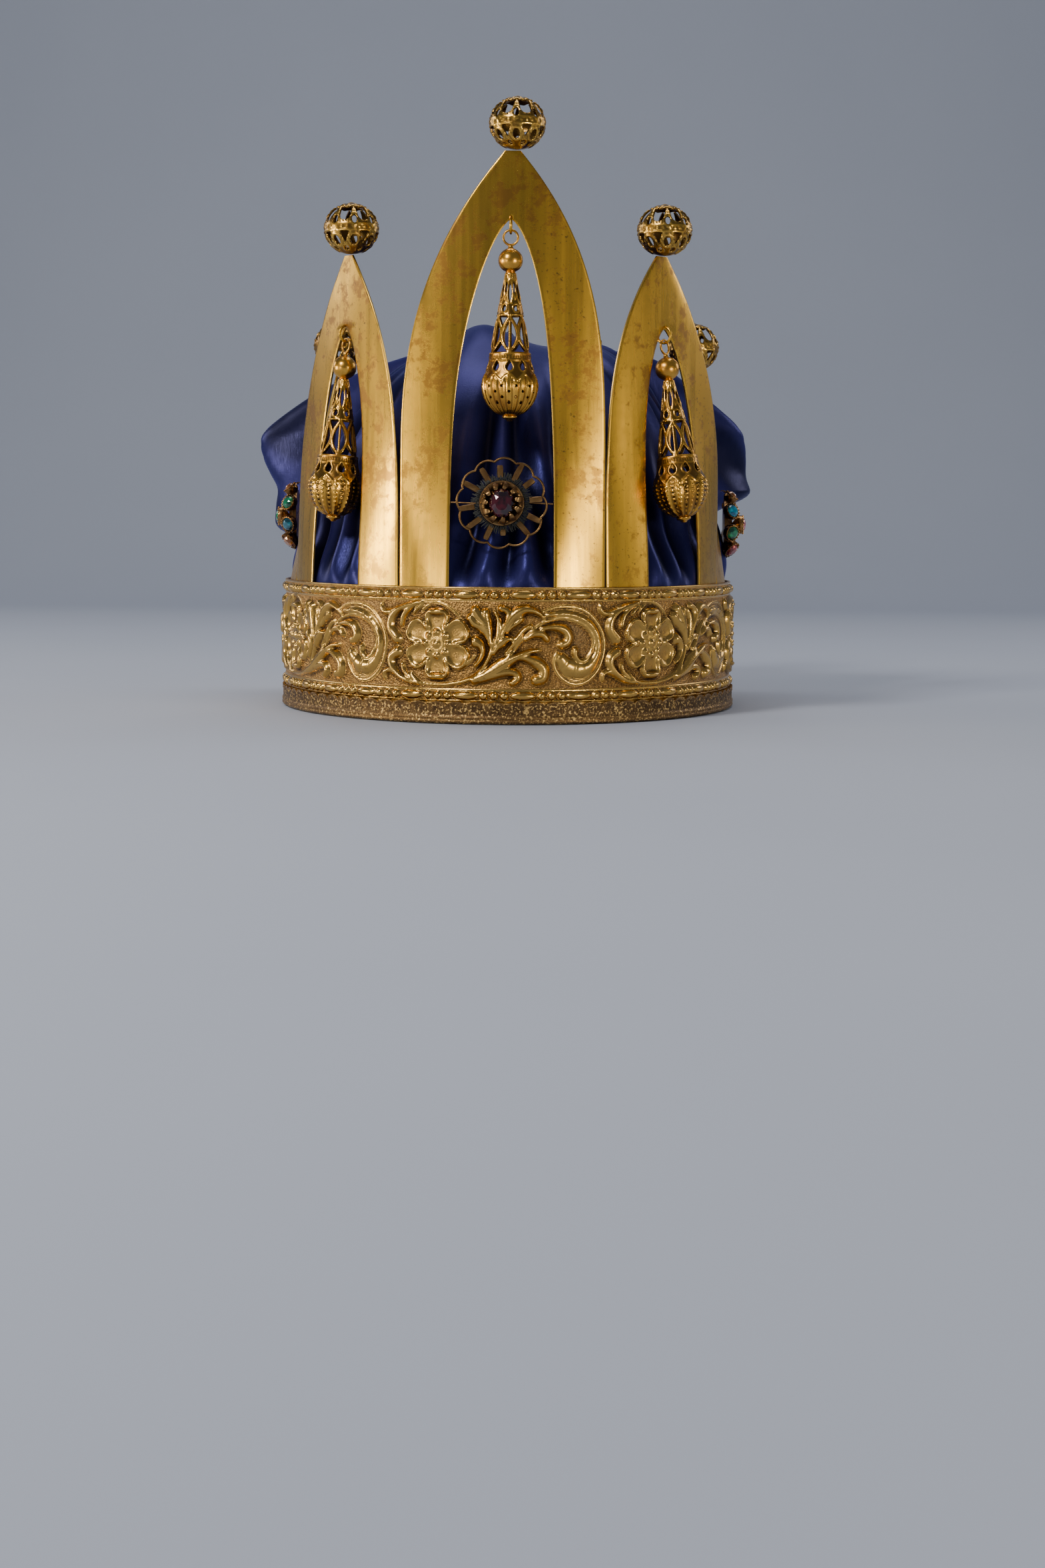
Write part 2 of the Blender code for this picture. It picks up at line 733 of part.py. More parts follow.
def cut_stone(name, width, height, depth, sides, finish):
    """A faceted stone: a flat table, a ring of crown facets, a girdle and a pointed back."""
    rows = ((0.62, 0.42), (1.0, 0.10), (1.0, -0.06))
    points = []
    for share, level in rows:
        for k in range(sides):
            turn = 2.0 * math.pi * (k + 0.5) / sides
            x = 0.5 * width * share * math.cos(turn)
            y = 0.5 * height * share * math.sin(turn)
            points.append(Vector((x, y, depth * level)))
    culet = len(points)
    points.append(Vector((0.0, 0.0, -0.5 * depth)))
    faces = [tuple(range(sides))]
    for k in range(sides):
        j = (k + 1) % sides
        for row in (0, 1):
            here = row * sides
            below = here + sides
            faces.append((here + k, below + k, below + j, here + j))
        faces.append((2 * sides + k, culet, 2 * sides + j))
    return add_mesh(name, points, faces, finish)


def rosette_frame():
    """Middle of the rosette, in the plane of the front window."""
    where = arch_point(ARCHES[0], 0.0, ROSETTE_HEIGHT, ARCH_MIDDLE)
    return Matrix.Translation(where - Vector((0.0, 0.0020, 0.0))) @ Matrix.Rotation(math.pi / 2, 4, 'X')


def build_rosette():
    """A wire ring in twelve scallops on twelve flat spokes round a cup, holding one dark oval stone."""
    steps = 4 * ROSETTE_LOBES
    wire_sides = 5
    points = []
    for k in range(steps):
        turn = 2.0 * math.pi * k / steps
        reach = ROSETTE_RADIUS + ROSETTE_SCALLOP * math.cos(ROSETTE_LOBES * turn)
        outward = Vector((math.cos(turn), math.sin(turn), 0.0))
        for j in range(wire_sides):
            roll = 2.0 * math.pi * j / wire_sides
            offset = 0.5 * ROSETTE_WIRE
            lift = Vector((0.0, 0.0, offset * math.sin(roll)))
            points.append(outward * (reach + offset * math.cos(roll)) + lift)
    faces = []
    for k in range(steps):
        here = k * wire_sides
        there = ((k + 1) % steps) * wire_sides
        for j in range(wire_sides):
            i = (j + 1) % wire_sides
            faces.append((here + j, there + j, there + i, here + i))
    ring = add_mesh("rosette_ring", points, faces, bronze(), 40.0)
    rim = 0.5 * max(ROSETTE_STONE_WIDTH, ROSETTE_STONE_HEIGHT) + SEAT_GAP
    cup = turned("rosette_cup", (
        (0.0, -0.0012),
        (0.72 * CUP_RADIUS, -0.0012),
        (CUP_RADIUS, 0.0),
        (CUP_RADIUS, 0.0012),
        (rim, CUP_DEPTH),
        (rim, 0.0016),
        (0.0, 0.0006),
    ), 12, bronze())
    parts = [cup, ring]
    for k in range(ROSETTE_SPOKES):
        reach = ROSETTE_RADIUS - 0.2 * ROSETTE_WIRE
        spoke = box_between("rosette_spoke_%d" % k, (0.85 * CUP_RADIUS, -0.0007, -0.0003),
                            (reach, 0.0007, 0.0003), bronze())
        spoke.rotation_euler = (0.0, 0.0, 2.0 * math.pi * (k + 0.35) / ROSETTE_SPOKES)
        parts.append(spoke)
    holder = bpy.data.objects.new("rosette_frame", None)
    bpy.context.scene.collection.objects.link(holder)
    holder.matrix_world = rosette_frame()
    for part in parts:
        part.parent = holder
    union_all("rosette_brooch", parts)
    stone = cut_stone("rosette_stone", ROSETTE_STONE_WIDTH, ROSETTE_STONE_HEIGHT, 0.0040, 8,
                      glass("garnet"))
    stone.parent = holder
    stone.location = (0.0, 0.0, CUP_DEPTH + 0.0003)


def build_holding_wire():
    """A thin wire across the front window, behind the rosette, from leg to leg."""
    arch = ARCHES[0]
    reach = window_half_width(arch, ROSETTE_HEIGHT) - SEAT_GAP
    points = []
    stations = 5
    sides = 6
    for k in range(stations):
        u = reach * (2.0 * k / (stations - 1) - 1.0)
        centre = arch_point(arch, u, ROSETTE_HEIGHT, ARCH_MIDDLE)
        for j in range(sides):
            roll = 2.0 * math.pi * j / sides
            ray = Vector((0.0, math.cos(roll), math.sin(roll)))
            points.append(centre + ray * (0.5 * HOLDING_WIRE))
    faces = [tuple(range(sides))[::-1]]
    faces.append(tuple(range((stations - 1) * sides, stations * sides)))
    for k in range(stations - 1):
        for j in range(sides):
            i = (j + 1) % sides
            here = k * sides
            there = here + sides
            faces.append((here + j, here + i, there + i, there + j))
    return add_mesh("holding_wire", points, faces, bronze(), 40.0)


CLUSTER_ROWS = (
    # stone, turn round the brooch in degrees (180 looks to the crown's front), share of the radius, diameter
    ("top", 100.0, 1.0, 0.0040),
    ("upper_front", 152.0, 1.0, 0.0050),
    ("lower_front", 196.0, 1.0, 0.0050),
    ("bottom_front", 238.0, 1.0, 0.0054),
    ("bottom_back", 292.0, 1.0, 0.0046),
    ("lower_back", 340.0, 1.0, 0.0046),
    ("upper_back", 40.0, 1.0, 0.0046),
    ("middle", 0.0, 0.0, 0.0056),
)
GLASS_ROWS = (
    # stone, glass on the right brooch, glass on the left brooch
    ("top", "amber", "amber"),
    ("upper_front", "turquoise", "emerald"),
    ("lower_front", "emerald", "sea"),
    ("bottom_front", "ruby", "amber"),
    ("bottom_back", "emerald", "emerald"),
    ("lower_back", "emerald", "ruby"),
    ("upper_back", "emerald", "emerald"),
    ("middle", "rose", "emerald"),
)
GLASS_COLOURS = {
    "amber": (0.45, 0.14, 0.02),
    "turquoise": (0.01, 0.42, 0.62),
    "emerald": (0.01, 0.30, 0.13),
    "sea": (0.01, 0.20, 0.30),
    "ruby": (0.50, 0.03, 0.06),
    "rose": (0.60, 0.12, 0.20),
    "garnet": (0.10, 0.01, 0.03),
}


def cloth_under(place, height):
    """How far out the satin comes below a brooch, from the band's oval."""
    normal = OVAL.normal(place)
    origin = OVAL.point(place)
    highest = -1.0
    for i in range(-2, 3):
        for j in range(-2, 3):
            point = cap_point(place + 0.5 * i * CLUSTER_RADIUS, height + 0.5 * j * CLUSTER_RADIUS)
            highest = max(highest, (point - origin).dot(normal))
    return highest


def build_cluster(side):
    """A domed brooch of round stones in gilt cups, standing in a side window."""
    on_right = side == "right"
    place = SIDE_RIGHT if on_right else SIDE_LEFT
    height = CLUSTER_HEIGHT if on_right else CLUSTER_HEIGHT + CLUSTER_RAISED
    frame = facing_out(place, BAND_TOP + height, cloth_under(place, height) + SEAT_GAP + CLUSTER_UNDER)
    holder = bpy.data.objects.new("cluster_frame_" + side, None)
    bpy.context.scene.collection.objects.link(holder)
    holder.matrix_world = frame
    plate = turned("cluster_plate_" + side, (
        (0.0, -CLUSTER_PLATE),
        (CLUSTER_RADIUS, -CLUSTER_PLATE),
        (CLUSTER_RADIUS, -0.0002),
        (0.40 * CLUSTER_RADIUS, CLUSTER_DOME - 0.0020),
        (0.0, CLUSTER_DOME - 0.0020),
    ), 12, gilt())
    parts = [plate]
    for (label, turn, share, diameter), (_, right_glass, left_glass) in zip(CLUSTER_ROWS, GLASS_ROWS):
        angle = math.radians(turn if on_right else 180.0 - turn)
        tilt = math.radians(52.0) * share
        reach = CLUSTER_RADIUS * share
        rise = CLUSTER_RIM + CLUSTER_DOME * (1.0 - share * share)
        spot = Matrix.Translation(Vector((reach * math.cos(angle), reach * math.sin(angle), rise)))
        turn_out = Matrix.Rotation(angle, 4, 'Z') @ Matrix.Rotation(tilt, 4, 'Y')
        radius = 0.5 * diameter
        cup = turned("cluster_cup_%s_%s" % (side, label), (
            (0.0, -0.0036),
            (radius + CUP_WALL, -0.0010),
            (radius + CUP_WALL, 0.0008),
            (radius + SEAT_GAP / 2, 0.0008),
            (radius + SEAT_GAP / 2, -0.0003),
            (0.0, -0.0016),
        ), 8, gilt())
        cup.parent = holder
        cup.matrix_parent_inverse = Matrix.Identity(4)
        cup.matrix_basis = spot @ turn_out
        parts.append(cup)
        stone = cut_stone("stone_%s_%s" % (side, label), diameter - SEAT_GAP, diameter - SEAT_GAP,
                          0.0022, 8, glass(right_glass if on_right else left_glass))
        stone.parent = holder
        stone.matrix_parent_inverse = Matrix.Identity(4)
        stone.matrix_basis = spot @ turn_out @ Matrix.Translation(Vector((0.0, 0.0, 0.0007)))
    plate.parent = holder
    union_all("cluster_brooch_" + side, parts)


PUFF_ROWS = (
    # height (share of the cap's height), reach of the right puff, of the left puff (shares of the reach)
    (0.10, 0.60, 0.60),
    (0.18, 0.68, 0.908),
    (0.27, 0.81, 0.955),
    (0.34, 0.985, 0.945),
    (0.37, 1.000, 0.939),
    (0.43, 0.962, 0.957),
    (0.56, 0.915, 0.973),
    (0.62, 0.892, 0.960),
    (0.72, 0.760, 0.820),
    (0.81, 0.630, 0.650),
    (0.90, 0.500, 0.470),
    (0.96, 0.270, 0.270),
    (1.00, 0.000, 0.000),
)
DENT_ROWS = (
    # place round the crown, half width, middle height and half height (shares of the cap's height), depth
    (FRONT_PLACE, 0.022, 0.62, 0.34, 0.0065),
    (SIDE_RIGHT, 0.038, 0.56, 0.36, 0.0040),
    (SIDE_LEFT, 0.038, 0.56, 0.36, 0.0055),
    (SIDE_RIGHT, 0.020, 0.20, 0.22, -0.0040),
    (SIDE_LEFT, 0.020, 0.23, 0.22, -0.0045),
)


def cap_point(s, h):
    """A point of the cap's outer side."""
    rise = min(1.0, max(0.0, h / CAP_HEIGHT))
    shrink = (1.0 - rise ** CAP_ROUNDNESS) ** (1.0 / CAP_ROUNDNESS)
    fold = 0.5 - 0.5 * math.sin(2.0 * math.pi * CAP_FOLD_COUNT * s / OVAL.girth + 0.8)
    raised = smoothstep(h / 0.02)
    around = ((s + HALF_GIRTH) % OVAL.girth) - HALF_GIRTH
    depth = CAP_SEAT + (CAP_INSET - CAP_SEAT + CAP_FOLD * fold) * raised
    depth += math.tan(math.radians(CAP_LEAN)) * max(0.0, h)
    for place, half, middle, reach_up, dent in DENT_ROWS:
        depth += dent * bump(around - place, half) * bump(h - middle * CAP_HEIGHT, reach_up * CAP_HEIGHT)
    base = OVAL.point(s, -depth, BAND_TOP + h)
    point = Vector((base.x * shrink, base.y * shrink, base.z))
    for column, place in ((1, GAP_RIGHT), (2, GAP_LEFT)):
        off = around - place
        if abs(off) < GAP_HALF:
            levels = [row[0] for row in PUFF_ROWS]
            reaches = [row[column] for row in PUFF_ROWS]
            reach = CAP_PUFF_REACH * float(np.interp(rise, levels, reaches))
            share = bump(off, GAP_HALF) ** 0.6 * smoothstep(h / PUFF_FROM)
            push = max(0.0, reach - abs(point.x)) * share
            point += OVAL.tangent(s) * (off * push / PUFF_SPREAD)
            point += Vector((math.copysign(push, place), 0.2 * push, 0.0))
    return point


def build_cap():
    """The satin cap: a dome with shallow folds, puffed out between the side and rear arches."""
    close = []
    for place in (GAP_RIGHT, GAP_LEFT):
        close += [(place + step * GAP_HALF) % OVAL.girth for step in (-1.0, -0.7, -0.25, 0.25, 0.7, 1.0)]
    for place in (SIDE_RIGHT, SIDE_LEFT):
        close += [(place + step * CLUSTER_RADIUS) % OVAL.girth for step in (-1.7, -0.9, 0.0, 0.9, 1.7)]
    ordered = list(close)
    for k in range(CAP_COLUMNS):
        s = OVAL.girth * k / CAP_COLUMNS
        if min(abs(s - other) for other in close) > 0.010:
            ordered.append(s)
    ordered.sort()
    levels = [-CAP_SKIRT, 0.0] + [CAP_HEIGHT * row[0] for row in PUFF_ROWS[:-1]]
    front = []
    for h in levels:
        front += [cap_point(s, h) for s in ordered]
    top = len(front)
    front.append(Vector((0.0, 0.0, BAND_TOP + CAP_HEIGHT)))
    count = len(ordered)
    faces = []
    for row in range(len(levels) - 1):
        for k in range(count):
            j = (k + 1) % count
            here = row * count
            there = here + count
            faces.append((here + k, here + j, there + j, there + k))
    last = (len(levels) - 1) * count
    for k in range(count):
        faces.append((last + k, last + (k + 1) % count, top))
    normals = [Vector((0.0, 0.0, 0.0)) for _ in front]
    for face in faces:
        square = (front[face[1]] - front[face[0]]).cross(front[face[2]] - front[face[0]])
        for index in face:
            normals[index] += square.normalized()
    back = [point - normal.normalized() * CAP_WALL for point, normal in zip(front, normals)]
    return closed_shell("satin_cap", front, back, faces, satin(), 50.0)


def build_crown():
    clear_scene()
    build_band()
    build_braid()
    for arch in ARCHES:
        sheet = build_arch(arch)
        build_ball(arch)
        if arch in HOOKED_ARCHES:
            union_all("arch_" + arch.name, [sheet, build_hook(arch)])
            build_drop(arch, place_pivot(arch))
    build_rosette()
    build_holding_wire()
    build_cluster("right")
    build_cluster("left")
    build_cap()


build_crown()
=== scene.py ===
"""Looks of a ceremonial crown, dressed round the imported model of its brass, glass and satin.

The crown stands on its rim and its front looks to -Y. Places round it are arc lengths in metres
along the band's oval, from the middle of the front, positive to +X. Heights are from the floor.
"""

import math

import bpy
import numpy as np
from mathutils import Matrix, Vector


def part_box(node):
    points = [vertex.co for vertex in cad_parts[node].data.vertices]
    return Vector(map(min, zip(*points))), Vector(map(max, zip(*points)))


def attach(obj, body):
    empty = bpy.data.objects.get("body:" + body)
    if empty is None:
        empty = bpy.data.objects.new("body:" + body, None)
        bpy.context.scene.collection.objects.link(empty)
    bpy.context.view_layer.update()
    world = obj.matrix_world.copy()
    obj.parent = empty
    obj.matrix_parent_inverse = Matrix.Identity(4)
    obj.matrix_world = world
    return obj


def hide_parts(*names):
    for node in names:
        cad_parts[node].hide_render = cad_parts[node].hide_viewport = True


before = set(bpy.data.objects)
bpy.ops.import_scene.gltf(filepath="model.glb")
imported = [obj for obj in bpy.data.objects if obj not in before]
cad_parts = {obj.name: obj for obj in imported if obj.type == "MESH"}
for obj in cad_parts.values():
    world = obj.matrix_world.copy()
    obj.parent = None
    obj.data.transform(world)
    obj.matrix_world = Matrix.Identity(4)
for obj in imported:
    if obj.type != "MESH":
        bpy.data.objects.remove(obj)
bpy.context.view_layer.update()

# The band: a strip of thin brass with its ornament struck from behind in a die, bent to an oval
# and lacquered a warm brown gold. Two rows of olives and beads frame roses, leaves and volutes
# on a stippled ground. It carries everything else.
BAND_HALF_WIDTH = 0.0812
BAND_HALF_DEPTH = 0.1012
BAND_BOTTOM = 0.0018
BAND_TOP = 0.0452
BAND_WALL = 0.0012
LOWER_BEADS = 0.0094
UPPER_BEADS = 0.0427
HALF_BEAD_ROW = 0.00155
BEAD_DEPTH = 0.0014
BEAD_UNITS = 30
BEAD_SHIFT = 0.0056
OLIVE_HALF = 0.0044
BEAD_HALF = 0.00148
FILLET_HALF = 0.00030
FILLET_RISE = 0.00032
FILLETS = (0.0077, 0.0112, 0.0410, 0.0449)
FIELD_LOW = 0.0116
FIELD_HIGH = 0.0406
HALF_FIELD = 0.0152
RELIEF_DEPTH = 0.0022
ROSE_PLACE = -0.0232
UNITS_A_REPEAT = 4
# The ornament is drawn in squares of a chart, from the upper left corner of one repeat.
SQUARE = 0.0004373
ROSE_SQUARE = (46.5, 43.8)
MIDDLE_SQUARE = 44.45
CHART_SPREAD = 0.0045
NET_STEP = 0.00022

turns = np.linspace(-math.pi, math.pi, 2881)
steps = np.hypot(np.diff(BAND_HALF_WIDTH * np.sin(turns)), np.diff(BAND_HALF_DEPTH * np.cos(turns)))
lengths = np.concatenate([[0.0], np.cumsum(steps)])
GIRTH = float(lengths[-1])
lengths -= 0.5 * GIRTH


def wrap(x, period):
    """The same place or turn within half a period of zero."""
    return (x + 0.5 * period) % period - 0.5 * period


def round_band(s, out=0.0, z=0.0):
    """Points at places s round the band, out from its face and z high."""
    t = np.interp(wrap(np.asarray(s, float), GIRTH), lengths, turns)
    nx = BAND_HALF_DEPTH * np.sin(t)
    ny = -BAND_HALF_WIDTH * np.cos(t)
    size = np.hypot(nx, ny)
    x = BAND_HALF_WIDTH * np.sin(t) + out * nx / size
    y = -BAND_HALF_DEPTH * np.cos(t) + out * ny / size
    return np.stack(np.broadcast_arrays(x, y, z + 0.0 * t), -1)


def outward(s):
    """The direction square to the band's face at one place."""
    return Vector(round_band(s, 1.0) - round_band(s))


class Finish:
    """A Principled material, with its texture nodes added and linked in one call each."""

    def __init__(self, name, **sockets):
        self.material = bpy.data.materials.new(name)
        self.material.use_nodes = True
        self.tree = self.material.node_tree
        self.shader = self.tree.nodes["Principled BSDF"]
        for socket, value in sockets.items():
            self.feed(self.shader.inputs[socket.replace("_", " ")], value)

    def feed(self, socket, value):
        if isinstance(value, bpy.types.NodeSocket):
            self.tree.links.new(value, socket)
        elif isinstance(value, tuple) and len(value) == 3 and socket.type == 'RGBA':
            socket.default_value = (*value, 1.0)
        else:
            socket.default_value = value

    def node(self, kind, inputs, **settings):
        made = self.tree.nodes.new(kind)
        for setting, value in settings.items():
            setattr(made, setting, value)
        for socket, value in inputs.items():
            self.feed(made.inputs[socket], value)
        return made

    def where(self, stretch=(1.0, 1.0, 1.0)):
        spot = self.node('ShaderNodeTexCoord', {}).outputs["Object"]
        return self.node('ShaderNodeMapping', {"Vector": spot, "Scale": stretch}).outputs[0]

    def noise(self, scale, detail=3.0, stretch=(1.0, 1.0, 1.0), ragged=0.5):
        made = self.node('ShaderNodeTexNoise', {
            "Vector": self.where(stretch), "Scale": scale, "Detail": detail, "Roughness": ragged})
        return made.outputs["Fac"]

    def painted(self, name):
        return self.node('ShaderNodeAttribute', {}, attribute_name=name).outputs["Fac"]

    def between(self, value, low, high, start=0.0, end=1.0):
        made = self.node('ShaderNodeMapRange', {
            "Value": value, "From Min": low, "From Max": high, "To Min": start, "To Max": end})
        return made.outputs["Result"]

    def joined(self, kind, a, b):
        return self.node('ShaderNodeMath', {0: a, 1: b}, operation=kind).outputs[0]

    def blended(self, share, first, second):
        made = self.node('ShaderNodeMix', {0: share, 6: first, 7: second}, data_type='RGBA')
        return made.outputs[2]

    def raised(self, height, distance, strength=1.0, under=None):
        inputs = {"Height": height, "Distance": distance, "Strength": strength}
        if under is not None:
            inputs["Normal"] = under
        return self.node('ShaderNodeBump', inputs).outputs["Normal"]

    def skin(self, colour=None, roughness=None, normal=None):
        for socket, value in (("Base Color", colour), ("Roughness", roughness), ("Normal", normal)):
            if value is not None:
                self.feed(self.shader.inputs[socket], value)
        return self.material


def stamped_brass():
    """Warm lacquered brass: a brown stippled ground, golden crests and painted shade in the hollows."""
    brass = Finish("stamped_brass_lacquer", Metallic=1.0, Roughness=0.30,
                   Coat_Weight=0.06, Coat_Roughness=0.22)
    crest = brass.between(brass.painted("crest"), 0.03, 0.28)
    # Painted shade: the colour darkens to deep brown in the relief's hollows and round the beads.
    painted_shade = brass.between(brass.painted("hollow_shade"), 0.03, 0.26)
    patches = brass.noise(28.0, 4.0)
    ground = brass.blended(patches, (0.46, 0.262, 0.082), (0.31, 0.170, 0.052))
    crests = brass.blended(brass.noise(45.0, 3.0), (0.74, 0.450, 0.115), (0.56, 0.330, 0.080))
    unshaded_colour = brass.blended(crest, ground, crests)
    colour = brass.blended(painted_shade, unshaded_colour, (0.060, 0.029, 0.010))
    specks = brass.between(brass.noise(520.0, 2.0), 0.60, 0.72)
    colour = brass.blended(brass.joined('MULTIPLY', specks, 0.35), colour, (0.16, 0.085, 0.03))
    dull = brass.between(crest, 0.0, 1.0, 0.42, 0.22)
    rough = brass.joined('ADD', dull, brass.between(patches, 0.3, 0.7, -0.04, 0.07))
    cells = brass.node('ShaderNodeTexVoronoi', {"Vector": brass.where(), "Scale": 1350.0})
    on_ground = brass.between(crest, 0.0, 0.5, 1.0, 0.06)
    stipple = brass.joined('MULTIPLY', cells.outputs["Distance"], on_ground)
    normal = brass.raised(stipple, 0.00045, 1.0)
    normal = brass.raised(brass.noise(160.0, 4.0), 0.00020, 0.25, normal)
    return brass.skin(colour, rough, normal)


def smooth_path(points, spacing):
    """A Catmull-Rom curve through points, sampled about evenly."""
    points = np.asarray(points, float)
    padded = np.vstack([2 * points[0] - points[1], points, 2 * points[-1] - points[-2]])
    out = []
    for k in range(len(points) - 1):
        a, b, c, d = padded[k:k + 4]
        count = max(2, int(np.linalg.norm(c - b) / spacing))
        t = np.arange(count)[:, None] / count
        bend = (2 * a - 5 * b + 4 * c - d) * t ** 2
        twist = (3 * b - a - 3 * c + d) * t ** 3
        out.append(0.5 * (2 * b + (c - a) * t + bend + twist))
    out.append(points[-1:])
    return np.vstack(out)


STROKES = (
    # half widths at a stroke's start, middle and end, its height, and what its middle line passes
    (0.9, 1.1, 0.9, 0.45, ((17, 17), (25, 13.4), (38, 11.6), (50, 13), (60, 19), (68, 29), (72, 38),
                           (71.5, 47), (68, 56))),
    (0.8, 1.8, 2.0, 0.70, ((32, 73.5), (43, 74.8), (56, 74.2), (70, 71), (80, 64.5), (86, 55),
                           (88.8, 46), (88, 37), (84, 30))),
    (0.6, 1.3, 1.0, 0.45, ((60, 66), (66, 62), (72, 57), (76, 52))),
    (4.2, 2.6, 0.8, 0.95, ((16.5, 40.5), (12, 33), (12.5, 25), (17.5, 18.5), (26, 14.2), (35, 12.2))),
    (1.6, 2.2, 0.8, 0.80, ((20, 30), (21.5, 22.5), (25.5, 17.5), (31, 14))),
    (1.2, 1.7, 0.7, 0.70, ((29, 21), (31, 17.5), (36, 13.8))),
    (0.8, 1.3, 0.6, 0.60, ((35, 19.6), (37, 16.4), (41, 14))),
    (1.0, 2.2, 1.4, 0.80, ((5.4, 13.6), (5.4, 17.5), (8.5, 20.5), (13, 19.5), (17, 17))),
    (4.0, 2.4, 0.8, 0.95, ((16.8, 50.4), (12.4, 55), (13, 62), (18.5, 69), (26, 73), (35, 74.4))),
    (1.5, 2.0, 0.8, 0.75, ((20.4, 59.5), (21.6, 65), (26, 70), (31, 73))),
    (1.1, 1.5, 0.7, 0.70, ((26.5, 66.5), (29, 70), (33.5, 73))),
    (1.2, 2.1, 1.2, 0.80, ((7.6, 71.4), (7.4, 67), (11, 65), (15.5, 67.4), (20, 70.5))),
    (3.2, 4.4, 1.8, 0.95, ((73, 23.5), (76, 27.5), (82, 30.5), (86, 36), (88, 44))),
    (3.6, 3.8, 2.8, 1.00, ((76.5, 17.8), (79, 22), (82.5, 26.5), (85, 32))),
    (3.4, 3.6, 2.4, 0.95, ((84, 19.6), (84.6, 24), (86, 30), (87.5, 36))),
    (4.3, 2.0, 1.0, 0.90, ((76.5, 41.5), (80.5, 44), (82, 50), (79.5, 56), (76, 60))),
    (0.8, 2.9, 1.6, 0.90, ((91, 18.5), (94, 25), (94.2, 34), (91.5, 43))),
    (2.4, 2.9, 1.2, 0.85, ((95.6, 16), (101, 18.5), (101.5, 23.5), (98.5, 30), (96.2, 36))),
    (1.2, 4.4, 0.8, 1.00, ((96.5, 38), (99.5, 30), (105.5, 21.5), (113, 17.2), (120, 18),
                           (125.5, 21), (128.3, 24.6))),
    (2.4, 1.6, 1.2, 0.80, ((110.5, 24.6), (108, 27), (104, 30), (100.5, 34))),
    (1.9, 2.1, 1.5, 0.70, ((118, 29.6), (114, 32), (110, 36), (105, 42))),
    (1.6, 2.0, 1.5, 0.70, ((111, 37), (108.5, 40), (104, 45), (100, 50))),
    (0.6, 3.9, 1.8, 0.90, ((106, 39.6), (100, 39.6), (94.5, 43.5), (90.5, 50))),
    (0.8, 3.2, 1.6, 0.85, ((104, 49.6), (100, 54), (93, 59), (84, 64.5))),
    (0.8, 3.8, 3.4, 1.00, ((125.5, 47.6), (117, 49), (107, 53.5), (96, 60), (86, 66), (76, 70.5))),
    (1.2, 4.2, 3.9, 0.95, ((104, 55), (113, 53.5), (122, 57), (127.5, 62), (127, 69), (122.5, 70.5))),
    (1.4, 3.2, 2.6, 0.90, ((80, 71.5), (90, 67.5), (99, 64.4), (106, 65), (108.6, 69), (104.6, 72.6))),
    (0.9, 1.2, 1.0, 0.55, ((103, 52), (109, 43.5), (117, 34.5), (127, 27.3), (140, 23.8), (152, 25.5),
                           (162, 31), (167.6, 40), (166, 49), (161.5, 55))),
    (0.9, 1.1, 2.4, 0.80, ((166, 49), (161.6, 55.2), (156.5, 56), (152.6, 52.4), (152.4, 48))),
    (0.8, 1.1, 1.0, 0.55, ((126, 19), (137, 15.4), (150, 15), (162, 19), (172, 29), (176.6, 40),
                           (176, 52), (171, 64), (162, 72), (152, 74), (143, 70), (137, 62),
                           (136, 54), (138.4, 50))),
    (0.6, 0.8, 0.8, 0.40, ((128, 21.6), (138, 18), (150, 17.8), (161, 22), (169.6, 31), (173.6, 41),
                           (173, 52), (168, 63), (160.6, 69.4), (152, 71), (145, 67.6), (140, 61))),
    (1.0, 3.1, 2.2, 0.90, ((114, 40), (120.5, 35.5), (127, 35.8), (130.4, 39.6))),
    (1.2, 3.4, 3.4, 0.95, ((126, 31.4), (136, 30.4), (143.6, 32.4), (147, 37.5), (145.6, 42), (142, 43.6))),
)
LADDER = ((130, 21.4), (138, 20.6), (146, 20.6), (155, 22.8), (163, 27.4), (168.4, 33.4), (171, 40),
          (171.2, 47), (169, 54), (163, 61), (154, 62.5), (146, 59.5), (141.5, 54.5))
LADDER_WIDTHS = (1.9, 2.1, 2.2, 2.4, 2.5, 2.6, 2.7, 2.9, 3.4, 5.0, 7.2, 7.4, 5.0)
LADDER_RUNG = 8.4
# The rose's parts in squares: how far its struck disc and its bare ground reach, its petals, and
# the radius, half width and height of each ring of small forms round its middle.
ROSE_DISC = 28.5
ROSE_GROUND = 27.0
PETALS = 6
PETAL_START = 8.0
PETAL_LENGTH = 18.4
PETAL_PARTS = 14.5
PETAL_CORNER = 9.0
PETAL_LIP = (24.6, 2.2, 7.0)
BUTTON_RADIUS = 3.4
COLLAR = (4.9, 0.75, 0.66)
PEARLS = (9.0, 2.5, 0.90)
PEARL_COUNT = 8
EYES = (15.0, 1.5, 0.7, 0.80)


def bump(x, half):
    """A smooth bump: 1 where x is 0, and fading beyond half."""
    return np.exp(-(x / half) ** 2)


def ring_distance(r, turn, radius, count):
    """How far points lie from the nearest of some spots evenly set on a ring."""
    near = wrap(turn, 2 * math.pi / count)
    return np.hypot(r * np.cos(near) - radius, r * np.sin(near))


